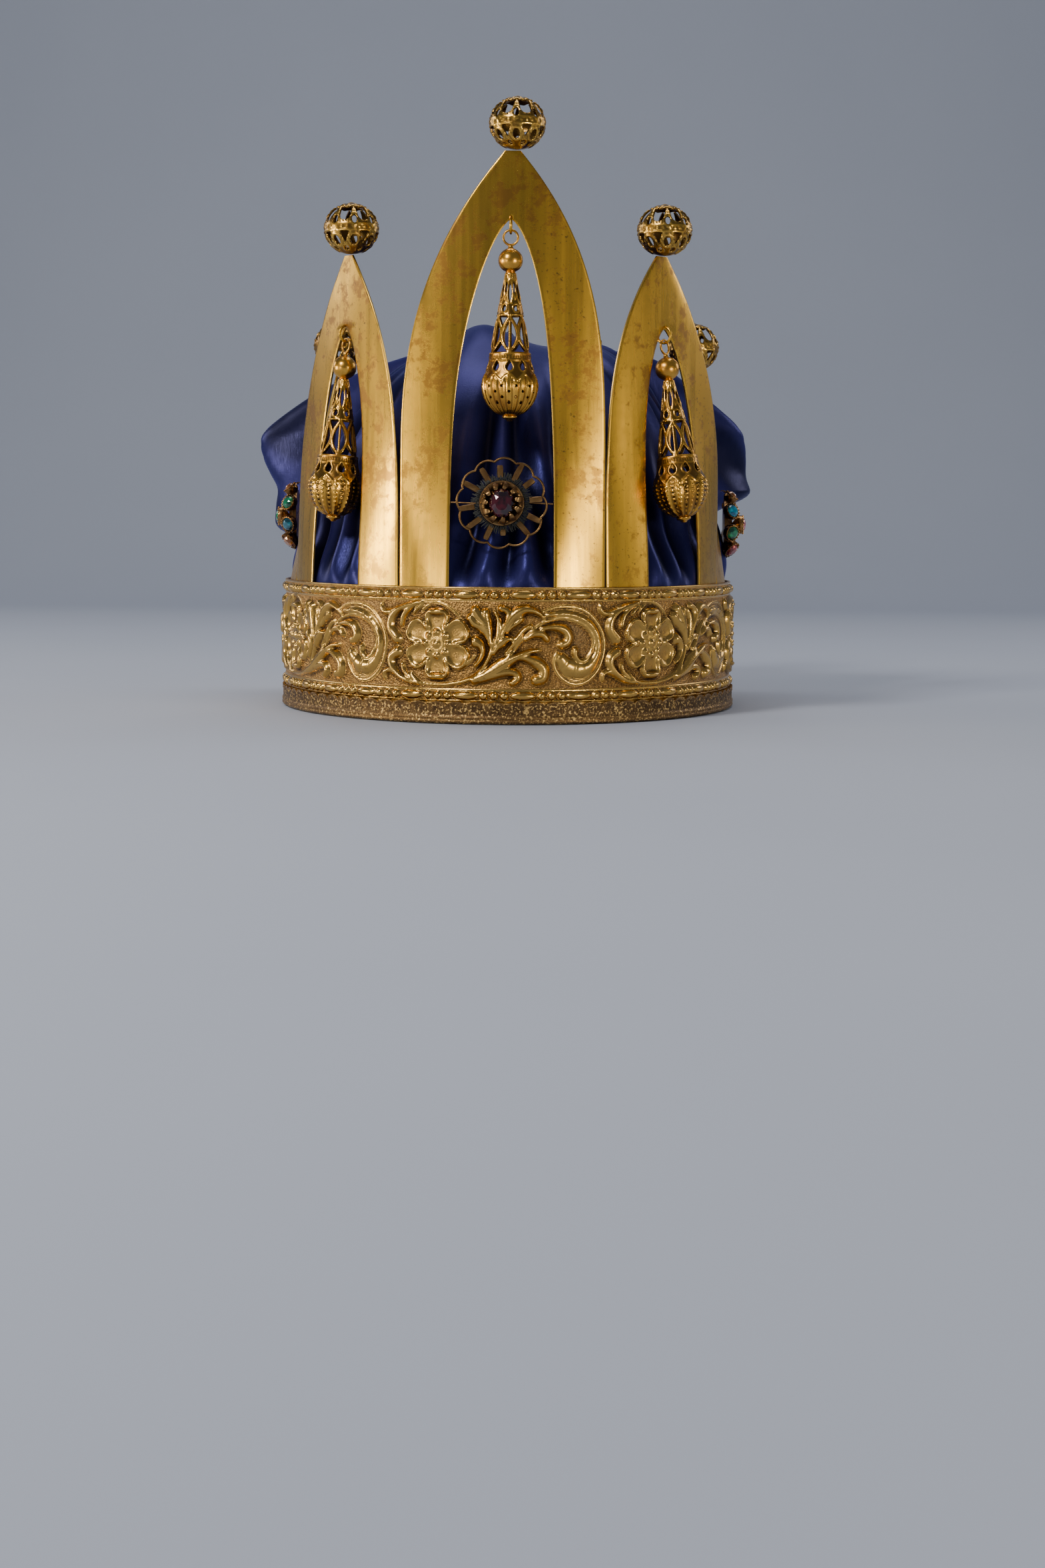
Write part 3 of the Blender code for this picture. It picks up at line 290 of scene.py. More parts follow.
def struck_rose(u, v):
    """Heights of the rose at squares across and up from its middle."""
    r = np.hypot(u, v)
    turn = np.arctan2(v, u)
    folded = wrap(turn - math.pi / PETALS, 2 * math.pi / PETALS)
    x = r * np.cos(folded)
    y = r * np.sin(folded)
    notch = 1.9 * np.clip((r - PETAL_PARTS) / 11.0, 0.0, 1.0) ** 1.3
    to_side = r * np.sin(math.pi / PETALS - np.abs(folded)) - notch
    to_side = np.where(r < PETAL_PARTS, PETAL_CORNER, to_side)
    to_end = ROSE_GROUND - 0.5 * (x + r)
    past_side = np.maximum(PETAL_CORNER - to_side, 0.0)
    past_end = np.maximum(PETAL_CORNER - to_end, 0.0)
    inside = PETAL_CORNER - np.hypot(past_side, past_end)
    bowl = 0.12 + 0.30 * np.clip(((x - 17.5) / 9.5) ** 2 + (y / 8.5) ** 2, 0.0, 1.0)
    petal = np.where(inside > 0.0, bowl + 0.44 * bump(inside - 1.0, 0.85), 0.0)
    upright = np.abs(np.sin(turn)) > 0.86
    lip_at, lip_half, lip_wide = PETAL_LIP
    lip = np.clip(1.0 - ((x - lip_at) / lip_half) ** 2 - (y / lip_wide) ** 2, 0.0, 1.0)
    petal = np.maximum(petal, np.where((lip > 0) & upright, 0.60 + 0.40 * np.sqrt(lip), 0.0))
    share = np.clip((r - PETAL_START) / PETAL_LENGTH, 0.0, 1.0)
    petal += np.where(inside > 2.0, 0.018 * np.cos(1.9 * y) * share, 0.0)
    button = np.sqrt(np.clip(1.0 - (r / BUTTON_RADIUS) ** 2, 0.0, 1.0)) * 0.85
    collar = COLLAR[2] * bump(r - COLLAR[0], COLLAR[1])
    pearl = ring_distance(r, turn, PEARLS[0], PEARL_COUNT) / PEARLS[1]
    pearls = PEARLS[2] * np.sqrt(np.clip(1.0 - pearl ** 2, 0.0, 1.0))
    eye = ring_distance(r, turn, EYES[0], PETALS)
    eyes = EYES[3] * bump(eye - EYES[1], EYES[2])
    return np.maximum.reduce([petal, button, collar, pearls, eyes])


def softened(heights, passes, reach=1):
    """Heights blurred along both ways of their net."""
    for axis in (0, 1):
        for _ in range(passes):
            sides = 0.25 * np.roll(heights, reach, axis) + 0.25 * np.roll(heights, -reach, axis)
            heights = sides + 0.5 * heights
    return heights


def drawn_relief():
    """One repeat of the ornament along and up the field: its heights, and the painted shade of its hollows,
    from 0 to 1.
    """
    repeat = GIRTH / BEAD_UNITS * UNITS_A_REPEAT
    along = np.arange(0.0, repeat, NET_STEP)
    up = np.arange(-HALF_FIELD, HALF_FIELD, NET_STEP)
    net = np.stack(np.meshgrid(along, up, indexing='ij'), -1)
    height = np.zeros(net.shape[:2])

    def on_band(squares):
        squares = np.asarray(squares, float)
        left = np.maximum(0.0, ROSE_SQUARE[0] - squares[:, 0])
        across = SQUARE * (squares[:, 0] - ROSE_SQUARE[0]) * (1.0 + CHART_SPREAD * left)
        return np.stack([across, SQUARE * (MIDDLE_SQUARE - squares[:, 1])], 1)

    def strike(path, widths, tall, rung=None):
        walked = np.concatenate([[0.0], np.cumsum(np.linalg.norm(np.diff(path, axis=0), axis=1))])
        for shift in (-repeat, 0.0, repeat):
            moved = path + (shift, 0.0)
            low = moved.min(0) - 0.004
            high = moved.max(0) + 0.004
            rows = np.nonzero((along > low[0]) & (along < high[0]))[0]
            cols = np.nonzero((up > low[1]) & (up < high[1]))[0]
            if not len(rows) or not len(cols):
                continue
            window = (slice(rows[0], rows[-1] + 1), slice(cols[0], cols[-1] + 1))
            gaps = np.linalg.norm(net[window][:, :, None, :] - moved[None, None], axis=-1)
            nearest = gaps.argmin(-1)
            near = np.take_along_axis(gaps, nearest[..., None], -1)[..., 0] / widths[nearest]
            shape = np.clip(1.0 - near ** 2, 0.0, 1.0) ** 0.80 * tall
            if rung:
                beat = np.abs((walked[nearest] / rung) % 1.0 - 0.5) * 2.0
                shape *= 1.0 - 0.30 * np.clip((beat - 0.80) / 0.20, 0.0, 1.0)
            height[window] = np.maximum(height[window], shape)

    for first, middle, last, tall, squares in STROKES:
        path = smooth_path(on_band(squares), 0.0005)
        share = np.linspace(0.0, 1.0, len(path))
        fuller = 1.18 if tall > 0.75 else 1.05
        widths = fuller * SQUARE * np.interp(share, (0.0, 0.5, 1.0), (first, middle, last))
        strike(path, widths, tall)
    path = smooth_path(on_band(LADDER), 0.0005)
    places = np.linspace(0.0, 1.0, len(LADDER))
    widths = SQUARE * np.interp(np.linspace(0.0, 1.0, len(path)), places, LADDER_WIDTHS)
    strike(path, widths, 0.72, SQUARE * LADDER_RUNG)

    for shift in (0.0, repeat):
        u = (net[..., 0] - shift) / SQUARE
        v = net[..., 1] / SQUARE - (MIDDLE_SQUARE - ROSE_SQUARE[1])
        r = np.hypot(u, v)
        round_rose = np.where(r < ROSE_GROUND, 0.0, height)
        height = np.where(r < ROSE_DISC, np.maximum(struck_rose(u, v), round_rose), height)
    calm = softened(height, 3)
    wide = softened(calm, 9, 2)
    height = 0.25 * height + 0.75 * calm
    return repeat, height, np.clip(wide - height, 0.0, 1.0)


def grid_faces(rows, columns, closed=False):
    """Quads of a net of points whose columns join in a ring, and its rows too where closed."""
    r, c = np.meshgrid(np.arange(rows if closed else rows - 1), np.arange(columns), indexing='ij')
    up = (r + 1) % rows
    over = (c + 1) % columns
    quads = np.stack([r * columns + c, r * columns + over, up * columns + over, up * columns + c], -1)
    return quads.reshape(-1, 4)


def piece(name, points, faces, finish, body, nodes=(), crease=60.0, place=None):
    """One smooth-shaded mesh that rides on a body and stands for its solids, sharp past a crease."""
    mesh = bpy.data.meshes.new(name)
    points = np.asarray(points, float).reshape(-1, 3)
    mesh.from_pydata(points.tolist(), [], [tuple(int(i) for i in face) for face in faces])
    mesh.materials.append(finish)
    mesh.shade_smooth()
    mesh.set_sharp_from_angle(angle=math.radians(crease))
    made = bpy.data.objects.new(name, mesh)
    bpy.context.scene.collection.objects.link(made)
    if place is not None:
        made.matrix_world = place
    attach(made, body)
    if nodes:
        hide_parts(*nodes)
    return made


def paint(made, name, values):
    """Stores one number a point on a mesh, for its finish to read."""
    layer = made.data.attributes.new(name, 'FLOAT', 'POINT')
    layer.data.foreach_set("value", np.ascontiguousarray(values, dtype=np.float32).ravel())


# The net of the band: fine round the front, coarser at the sides and behind.
FRONT_REACH = 0.118
SIDE_REACH = 0.150
FRONT_STEP = 0.00036
SIDE_COLUMNS = 60
BACK_COLUMNS = 250
FIELD_LEVELS = (0.0119, 0.0403, 58)
BEAD_LEVELS = 11
CLOSEST_LEVELS = 0.00012


def bead_row(s, z, centre):
    """Heights from 0 to 1 of a row of olives and beads, and where the row's own strip is."""
    unit = GIRTH / BEAD_UNITS
    from_olive = wrap(s - BEAD_SHIFT, unit)
    pitch = (unit - 2 * OLIVE_HALF) / 3.0
    to_bead = (from_olive % unit - OLIVE_HALF) % pitch - 0.5 * pitch
    tall = (z - centre) / HALF_BEAD_ROW
    olive = 1.0 - (from_olive / OLIVE_HALF) ** 2 - (tall * 1.02) ** 2
    bead = 1.0 - (to_bead / BEAD_HALF) ** 2 - (tall * HALF_BEAD_ROW / BEAD_HALF) ** 2
    strip = np.abs(tall) <= 1.0
    shape = np.sqrt(np.clip(np.where(np.abs(from_olive) < OLIVE_HALF, olive, bead), 0.0, 1.0))
    return np.where(strip, shape, 0.0), strip


def band_levels():
    """Heights of the band net's rows, from the lower edge to the upper."""
    fillets = [z + step * FILLET_HALF for z in FILLETS for step in (-1.0, 0.0, 1.0)]
    steps = np.linspace(-1.0, 1.0, BEAD_LEVELS)
    beads = [z + HALF_BEAD_ROW * step for z in (LOWER_BEADS, UPPER_BEADS) for step in steps]
    z = np.array(sorted([BAND_BOTTOM, 0.0062, BAND_TOP, *fillets, *beads, *np.linspace(*FIELD_LEVELS)]))
    z = z[np.concatenate([[True], np.diff(z) > CLOSEST_LEVELS])]
    return z[z <= BAND_TOP]


def make_band():
    repeat, drawn, dug = drawn_relief()
    middle = 0.5 * (UPPER_BEADS + LOWER_BEADS)
    front = np.arange(-FRONT_REACH, FRONT_REACH, FRONT_STEP)
    side = np.linspace(FRONT_REACH, SIDE_REACH, SIDE_COLUMNS, endpoint=False)
    back = np.linspace(SIDE_REACH, GIRTH - SIDE_REACH, BACK_COLUMNS, endpoint=False)
    places = wrap(np.concatenate([front, side, back, GIRTH - side[::-1]]), GIRTH)
    levels = band_levels()
    s, z = np.meshgrid(places, levels)

    def look_up(chart):
        """Heights of the chart at the net's points, mixed from the four chart points round each."""
        across, up = chart.shape
        a = ((s - ROSE_PLACE) % repeat) / repeat * across
        b = np.clip((z - middle + HALF_FIELD) / (2 * HALF_FIELD) * up - 0.5, 0, up - 1.001)
        a0 = np.floor(a).astype(int)
        b0 = np.floor(b).astype(int)
        fa = a - a0
        fb = b - b0
        a0 %= across
        a1 = (a0 + 1) % across
        low = chart[a0, b0] * (1 - fa) + chart[a1, b0] * fa
        high = chart[a0, b0 + 1] * (1 - fa) + chart[a1, b0 + 1] * fa
        return low * (1 - fb) + high * fb

    in_field = (z > FIELD_LOW) & (z < FIELD_HIGH)
    crest = np.where(in_field, look_up(drawn), 0.0)
    # Painted shade from 0 to 1: the relief's hollows, the strip round each bead and the inner wall.
    hollow_shade = np.where(in_field, look_up(dug), 0.0)
    out = RELIEF_DEPTH * crest
    for centre in (LOWER_BEADS, UPPER_BEADS):
        row, strip = bead_row(s, z, centre)
        out = np.maximum(out, BEAD_DEPTH * row)
        crest = np.maximum(crest, row)
        hollow_shade = np.maximum(hollow_shade, np.where(strip & (row < 0.30), 0.16 - 0.5 * row, 0.0))
    for centre in FILLETS:
        ridge = np.sqrt(np.clip(1.0 - ((z - centre) / (FILLET_HALF * 1.2)) ** 2, 0.0, 1.0))
        out = np.maximum(out, FILLET_RISE * ridge)
        crest = np.maximum(crest, 0.4 * ridge)
    wave = 0.00010 * np.sin(s / 0.0105 + 0.8) * np.sin(z / 0.0088) + 0.00012 * np.sin(s / 0.031)
    inside = [round_band(places, -BAND_WALL, height) for height in (BAND_TOP, BAND_BOTTOM)]
    points = np.concatenate([round_band(s, out + wave, z), np.stack(inside)])
    faces = grid_faces(len(levels) + 2, len(places), True)
    band = piece("band_strip", points, faces, stamped_brass(), "crown", ("band",), 120.0)
    inner = np.zeros((2, len(places)))
    paint(band, "crest", np.concatenate([crest, inner]))
    paint(band, "hollow_shade", np.concatenate([hollow_shade, inner + 0.12]))


make_band()

# The rim braid: a flat braid of brown and gold metal thread, folded over the lower edge of the
# band and stitched through. Its upper edge runs in small scallops, and two cords mark the fold.
BRAID_THICKNESS = 0.0010
BRAID_OUTER_HEIGHT = 0.0072
BRAID_INNER_HEIGHT = 0.0058
BRAID_FOLD = 0.0004
CORD_LEVELS = (0.9, 2.1)
CORD_HALF = 0.45
PLAIN_STRIP = 3.0
SEAT_GAP = 0.0003
ARCH_SHEET = 0.0010
SCALLOPS = 88
SCALLOP_RISE = 0.0013
SCALLOP_LOW = BRAID_OUTER_HEIGHT - 0.0011
COLUMNS_A_SCALLOP = 14


def metal_thread():
    """Brown silk wound with thin gilt strip: bright threads over a dark core."""
    thread = Finish("metal_thread", Metallic=0.75, Roughness=0.42)
    run = thread.painted("thread")
    worn = thread.noise(210.0, 3.0)
    bright = thread.blended(worn, (0.26, 0.150, 0.052), (0.11, 0.055, 0.020))
    colour = thread.blended(thread.between(run, 0.25, 0.85), (0.022, 0.010, 0.005), bright)
    glints = thread.between(thread.noise(1250.0, 2.0), 0.54, 0.66)
    colour = thread.blended(thread.joined('MULTIPLY', glints, 0.7), colour, (0.85, 0.56, 0.20))
    rough = thread.between(run, 0.0, 1.0, 0.60, 0.34)
    normal = thread.raised(thread.noise(2300.0, 2.0), 0.00022, 0.75)
    return thread.skin(colour, rough, normal)


def make_braid():
    inner_face = -BAND_WALL - ARCH_SHEET - 3 * SEAT_GAP
    outer_face = SEAT_GAP
    columns = SCALLOPS * COLUMNS_A_SCALLOP
    s = np.arange(columns) / columns * GIRTH
    beat = s / GIRTH * SCALLOPS
    top = SCALLOP_LOW + SCALLOP_RISE * np.abs(np.sin(math.pi * beat)) ** 0.6
    rows = []
    threads = []
    for level in np.linspace(0.0, 1.0, 19):
        z = BRAID_FOLD + (top - BRAID_FOLD) * level
        height = z * 1000.0
        cords = sum(bump(height - cord, CORD_HALF) for cord in CORD_LEVELS)
        fan = np.abs(np.cos(math.pi * (beat * 3.0 + 1.3 * np.cos(2 * math.pi * beat) * level)))
        chain = np.abs(np.sin(math.pi * (beat * 6.0 + height * 0.55)))
        weave = np.where(height < PLAIN_STRIP, 0.45 + 0.55 * chain, 0.50 + 0.50 * fan * chain)
        weave = np.maximum(weave, 0.9 * (level > 0.93))
        lift = 0.00022 * weave + 0.00040 * cords + 0.00022 * (level > 0.90)
        rows.append(round_band(s, outer_face + BRAID_THICKNESS * 0.72 + lift, z))
        shine = np.clip(cords + (level > 0.85) + 0.35, 0.0, 1.0)
        threads.append(weave * (0.55 + 0.45 * shine))
    for face, z in ((outer_face, top - 0.0002), (outer_face, BAND_BOTTOM - SEAT_GAP),
                    (inner_face, BAND_BOTTOM - SEAT_GAP), (inner_face, BRAID_INNER_HEIGHT)):
        rows.append(round_band(s, face, z))
        threads.append(np.full(columns, 0.4))
    for level in np.linspace(1.0, 0.0, 8):
        ribs = np.abs(np.sin(math.pi * (beat * 6.0 - level * 3.0)))
        z = BRAID_FOLD + (BRAID_INNER_HEIGHT - BRAID_FOLD) * level
        rows.append(round_band(s, inner_face - 0.7 * BRAID_THICKNESS - 0.0002 * ribs, z))
        threads.append(0.3 + 0.6 * ribs)
    for out in (inner_face - 0.4 * BRAID_THICKNESS, outer_face + 0.4 * BRAID_THICKNESS):
        rows.append(round_band(s, out, 0.0))
        threads.append(np.full(columns, 0.3))
    braid = piece("braid_edging", np.stack(rows), grid_faces(len(rows), columns, True), metal_thread(),
                  "crown", ("rim_braid",), 80.0)
    paint(braid, "thread", np.stack(threads))


make_braid()

# The arches: seven pointed frames cut from yellow sheet brass, bent to the oval and soldered
# behind the band's upper edge. Their faces are brushed and tarnished; their cut edges are polished
# and carry a painted highlight. A small wire ring at the top of three windows carries a drop.
ARCH_OUTSIDE = -BAND_WALL - SEAT_GAP
ARCH_INSIDE = ARCH_OUTSIDE - ARCH_SHEET
ARCH_MIDDLE = 0.5 * (ARCH_OUTSIDE + ARCH_INSIDE)
FRONT_WIDTH = 0.0738
ARCH_WIDTH = 0.0690
ARCH_STRAP = 0.0188
ARCH_FOOT = 0.0140
TIP_HALF = 0.0028
SEAM_GAP = 0.0006
ARCH_ROUNDNESS = 2.7
ARCH_FLATTENED = 0.5
ARCH_FLAT_FROM = 0.060
WINDOW_STRAIGHT_SHARE = 0.2
WINDOW_ROUNDNESS = 2.6
WINDOW_POINT = 0.7
CHAMFER = 0.00022
CHAMFER_REACH = 0.0003
FRONT_PLACE = -0.0019
SHOULDER_STEP = 0.5 * (FRONT_WIDTH + ARCH_WIDTH) + SEAM_GAP
SIDE_STEP = SHOULDER_STEP + ARCH_WIDTH + SEAM_GAP
REAR_PLACE = 0.5 * GIRTH - 0.5 * (ARCH_WIDTH + SEAM_GAP)
HOOK_RADIUS = 0.0027
HOOK_WIRE = 0.0009
ARCHES = {
    # place, width, height, sheet above the window, straight share, lean, twist, tip shift, ball shift
    "front": (FRONT_PLACE, FRONT_WIDTH, 0.1417, 0.0220, 0.30, 0.6, 0.0, 0.0030, 0.0016),
    "shoulder_right": (FRONT_PLACE + SHOULDER_STEP, ARCH_WIDTH, 0.1104, 0.0242, 0.17, 0.6, -2.0,
                       -0.0056, 0.0016),
    "shoulder_left": (FRONT_PLACE - SHOULDER_STEP, ARCH_WIDTH, 0.1104, 0.0242, 0.17, 0.9, -2.2,
                      0.0038, 0.0016),
    "side_right": (FRONT_PLACE + SIDE_STEP, ARCH_WIDTH, 0.0756, 0.0242, 0.17, 7.8, 0.0, 0.0, 0.0),
    "side_left": (FRONT_PLACE - SIDE_STEP, ARCH_WIDTH, 0.0756, 0.0242, 0.17, 11.2, 0.0, 0.0, 0.0),
    "rear_right": (REAR_PLACE, ARCH_WIDTH, 0.0812, 0.0242, 0.17, 6.0, 0.0, 0.0, 0.0),
    "rear_left": (-REAR_PLACE, ARCH_WIDTH, 0.0812, 0.0242, 0.17, 6.0, 0.0, 0.0, 0.0),
}
DROP_BODIES = {
    "front": "front_drop",
    "shoulder_right": "right_shoulder_drop",
    "shoulder_left": "left_shoulder_drop",
}
ACROSS_LEG = (0.0, 0.02, 0.06, 0.2, 0.35, 0.5, 0.65, 0.8, 0.94, 0.98, 1.0)


def smoothstep(x):
    """A soft step from 0 to 1 as x goes from 0 to 1."""
    x = np.clip(x, 0.0, 1.0)
    return x * x * (3.0 - 2.0 * x)


def on_arch(arch, u, h, out):
    """Points of an arch: u along it from its middle, h above the band, out from the band's face."""
    place, width, height, _, _, lean, twist, tip_shift, _ = ARCHES[arch]
    u, h, out = np.broadcast_arrays(np.asarray(u, float), np.asarray(h, float), np.asarray(out, float))
    raised = np.maximum(0.0, h)
    half = 0.5 * width
    along = u + tip_shift * smoothstep((raised / height - 0.35) / 0.65)

    def on_oval(v):
        tilt = np.tan(np.radians(lean + twist * v / width))
        return round_band(place + v, out - tilt * raised, BAND_TOP + h)

    share = (0.5 + 0.5 * along / half)[..., None]
    chord = on_oval(-half + 0 * along) * (1.0 - share) + on_oval(half + 0 * along) * share
    flat = (ARCH_FLATTENED * smoothstep(raised / ARCH_FLAT_FROM))[..., None]
    return on_oval(along) * (1.0 - flat) + chord * flat


def arch_outline(arch, h):
    """Half widths of an arch and of its window at heights above the band."""
    _, width, height, crest, straight_share, *_ = ARCHES[arch]
    straight = height * straight_share
    rise = np.clip((h - straight) / (height - straight), 0.0, 1.0)
    outer = 0.5 * width - (0.5 * width - TIP_HALF) * rise ** ARCH_ROUNDNESS
    apex = height - crest
    straight = WINDOW_STRAIGHT_SHARE * apex
    rise = np.clip((h - straight) / (apex - straight), 0.0, 1.0)
    return outer, (0.5 * width - ARCH_STRAP) * (1.0 - rise ** WINDOW_ROUNDNESS) ** WINDOW_POINT


def wire(points, radius, sides=8, closed=False):
    """Points and faces of a round wire along a path, its ends flat unless it is a closed ring."""
    points = np.asarray(points, float)
    count = len(points)
    ahead = np.roll(points, -1, 0) - np.roll(points, 1, 0)
    if not closed:
        ahead[0] = points[1] - points[0]
        ahead[-1] = points[-1] - points[-2]
    ahead /= np.linalg.norm(ahead, axis=1)[:, None]
    side = np.cross(ahead[0], (0.31, 0.17, 0.93))
    radii = np.broadcast_to(np.asarray(radius, float), (count,))
    rings = []
    turn = 2 * math.pi * np.arange(sides) / sides
    for k in range(count):
        side = side - ahead[k] * side.dot(ahead[k])
        side /= np.linalg.norm(side)
        circle = np.outer(np.cos(turn), side) + np.outer(np.sin(turn), np.cross(ahead[k], side))
        rings.append(points[k] + radii[k] * circle)
    faces = grid_faces(count, sides, closed).tolist()
    if not closed:
        faces.append(tuple(range(sides))[::-1])
        faces.append(tuple(range((count - 1) * sides, count * sides)))
    return np.concatenate(rings), faces


def gathered(parts):
    """Points and faces of several shells as one list."""
    points = []
    faces = []
    start = 0
    for some_points, some_faces in parts:
        points.append(np.asarray(some_points, float).reshape(-1, 3))
        faces += [tuple(int(i) + start for i in face) for face in some_faces]
        start += len(points[-1])
    return np.concatenate(points), faces


def upright_ring(centre, across, radius, thick):
    """A wire ring that stands upright, with one way across it."""
    turn = 2 * math.pi * np.arange(28) / 28
    circle = np.outer(np.cos(turn), across) + np.outer(np.sin(turn), (0.0, 0.0, 1.0))
    return wire(np.asarray(centre) + radius * circle, 0.5 * thick, 8, True)


def shell_of(front, back, faces):
    """A closed body from a surface, its faces and the same points on the surface's other side."""
    count = len(front)
    directed = set()
    for face in faces:
        for i, start in enumerate(face):
            directed.add((start, face[(i + 1) % len(face)]))
    body = [tuple(face) for face in faces]
    body += [tuple(count + i for i in reversed(face)) for face in faces]
    for start, end in directed:
        if (end, start) not in directed:
            body.append((end, start, start + count, end + count))
    return np.concatenate([front, back]), body


def hook_place(arch):
    """The middle of an arch's wire ring."""
    height, crest = ARCHES[arch][2:4]
    return on_arch(arch, 0.0, height - crest - HOOK_RADIUS + HOOK_WIRE, ARCH_MIDDLE)


def yellow_brass():
    """Old sheet brass: upright brushing, cloudy brown tarnish, dark specks, and polished cut edges with a
    painted highlight.
    """
    brass = Finish("yellow_sheet_brass", Metallic=1.0, Roughness=0.33,
                   Coat_Weight=0.28, Coat_Roughness=0.42)
    clouds = brass.noise(24.0, 5.0, (1.0, 1.0, 0.55))
    patches = brass.joined('ADD', brass.noise(210.0, 12.0, (1.0, 1.0, 1.0), 0.70),
                           brass.between(brass.noise(40.0, 3.0), 0.3, 0.7, -0.09, 0.09))
    colour = brass.blended(clouds, (0.74, 0.420, 0.036), (0.60, 0.330, 0.028))
    stain = brass.joined('MULTIPLY', brass.between(patches, 0.52, 0.61, 0.0, 0.68), brass.painted("low"))
    colour = brass.blended(stain, colour, (0.22, 0.080, 0.018))
    specks = brass.joined('MULTIPLY', brass.between(brass.noise(900.0, 2.0), 0.64, 0.72), 0.75)
    specks = brass.joined('MULTIPLY', specks, brass.between(clouds, 0.35, 0.6))
    colour = brass.blended(specks, colour, (0.10, 0.05, 0.02))
    # Cut edges: polished, and lightened further by a painted highlight along each edge.
    edge = brass.between(brass.painted("edge"), 0.35, 1.0)
    colour = brass.blended(edge, colour, (0.76, 0.48, 0.10))
    grain = brass.noise(420.0, 4.0, (1.0, 1.0, 0.03))
    dull = brass.between(clouds, 0.3, 0.7, 0.23, 0.32)
    rough = brass.joined('ADD', dull, brass.between(grain, 0.3, 0.7, -0.04, 0.05))
    rough = brass.joined('ADD', rough, brass.joined('MULTIPLY', stain, 0.12))
    normal = brass.raised(grain, 0.00008, 0.30)
    normal = brass.raised(brass.noise(38.0, 3.0), 0.0009, 0.22, normal)
    return brass.skin(colour, rough, normal)


def sheet_mesh(arch, number):
    """An arch's sheet as a shell, with each point's way to the nearest cut edge and its height."""
    _, _, height, crest, *_ = ARCHES[arch]
    apex = height - crest
    below = apex * np.sin(np.linspace(0.0, 0.5 * math.pi, 30)) ** 1.15
    above = apex + crest * np.linspace(0.0, 1.0, 12)[1:]
    h = np.concatenate([[-ARCH_FOOT, -0.5 * ARCH_FOOT], below, above])
    outer, inner = arch_outline(arch, h)
    front = []
    back = []
    marks = []
    index = {}
    faces = []

    def corner(side, row, column):
        u = side * (outer[row] + (inner[row] - outer[row]) * ACROSS_LEG[column])
        key = (row, round(float(u), 7))
        if key not in index:
            index[key] = len(front)
            to_window = abs(abs(u) - inner[row]) if inner[row] > 1e-5 else 1.0
            edge = min(abs(outer[row] - abs(u)), to_window, height - h[row] + 0.0002)
            chamfer = CHAMFER * max(0.0, 1.0 - edge / CHAMFER_REACH)
            wave = 0.00022 * math.sin(u / 0.011 + number) * math.sin(h[row] / 0.019 + 2 * number)
            wave *= min(1.0, edge / 0.004, max(0.0, h[row]) / 0.01)
            front.append((u, h[row], ARCH_OUTSIDE - chamfer + wave))
            back.append((u, h[row], ARCH_INSIDE + chamfer + wave))
            marks.append((edge, h[row] / height))
        return index[key]

    for row in range(len(h) - 1):
        for column in range(len(ACROSS_LEG) - 1):
            for side, first, second in ((-1, column, column + 1), (1, column + 1, column)):
                face = (corner(side, row, first), corner(side, row, second),
                        corner(side, row + 1, second), corner(side, row + 1, first))
                slim = tuple(dict.fromkeys(face))
                if len(slim) > 2:
                    faces.append(slim)
    sides = [on_arch(arch, *np.array(points).T) for points in (front, back)]
    return shell_of(*sides, faces), np.array(marks)


def make_arches():
    finish = yellow_brass()
    for number, arch in enumerate(ARCHES):
        sheet, marks = sheet_mesh(arch, number)
        parts = [sheet]
        if arch in DROP_BODIES:
            parts.append(upright_ring(hook_place(arch), outward(ARCHES[arch][0]), HOOK_RADIUS, HOOK_WIRE))
        points, faces = gathered(parts)
        made = piece("sheet_" + arch, points, faces, finish, "crown", ("arch_" + arch,), 50.0)
        # How near each point is to a cut edge, for the painted edge highlight.
        near = np.exp(-marks[:, 0] / CHAMFER)
        low = 0.55 + 0.45 * smoothstep(marks[:, 1] / 0.55)
        hook = len(points) - 2 * len(marks)
        paint(made, "edge", np.concatenate([near, near, np.full(hook, 0.2)]))
        paint(made, "low", np.concatenate([low, low, np.full(hook, 0.5)]))


make_arches()

# The finial balls: each is two stamped and pierced half shells of gilt brass joined at a seam,
# with raised rims round every opening, and soldered to the tip of its arch.
BALL_RADIUS = 0.0091
BALL_HALF_HEIGHT = 0.0084
BALL_WALL = 0.0006
BALL_SECTORS = 8
BALL_COLUMNS = 112
BALL_ROWS = 58
BALL_GRAINS = 28
# A ball's openings in millimetres, down from its top over the surface: a cup, a wedge and ovals.
CUP_TOP = 5.0
CUP_SAG = 0.35
CUP_LOW = 10.0
CUP_HALF = 1.9
WEDGE_TOP = 15.9
WEDGE_LENGTH = 4.4
WEDGE_HALF = 1.65
BALL_OVALS = (
    # place, half width, half height, sectors away from the cup
    (11.4, 0.85, 1.6, 0.5),
    (19.3, 1.15, 1.9, 0.5),
    (22.8, 0.75, 1.1, 0.0),
)
TRIAL_STEP = 0.15
LONGEST_STEP = 0.6


def gilt_brass(name="gilt_filigree_brass", tone=(0.78, 0.47, 0.095), dark=(0.40, 0.21, 0.042)):
    """Gilt pierced work: bright where fingers rub it, with painted shade in its hollows and on its inner
    side.
    """
    gilt = Finish(name, Metallic=1.0, Roughness=0.26)
    cloud = gilt.noise(150.0, 4.0)
    colour = gilt.blended(gilt.between(cloud, 0.40, 0.70), tone, dark)
    # Painted shade: darkest on the shells' inner sides and where the metal is not raised.
    painted_shade = gilt.between(gilt.painted("hollow_shade"), 0.08, 0.62)
    colour = gilt.blended(gilt.joined('MULTIPLY', painted_shade, 0.8), colour, (0.09, 0.045, 0.018))
    rough = gilt.between(cloud, 0.3, 0.7, 0.20, 0.36)
    normal = gilt.raised(gilt.noise(900.0, 3.0), 0.00012, 0.35)
    return gilt.skin(colour, rough, normal)


def oval(x, y, half_width, half_height):
    """About how far a place is outside an oval, negative inside it."""
    return half_width * (np.hypot(x / half_width, y / half_height) - 1.0)


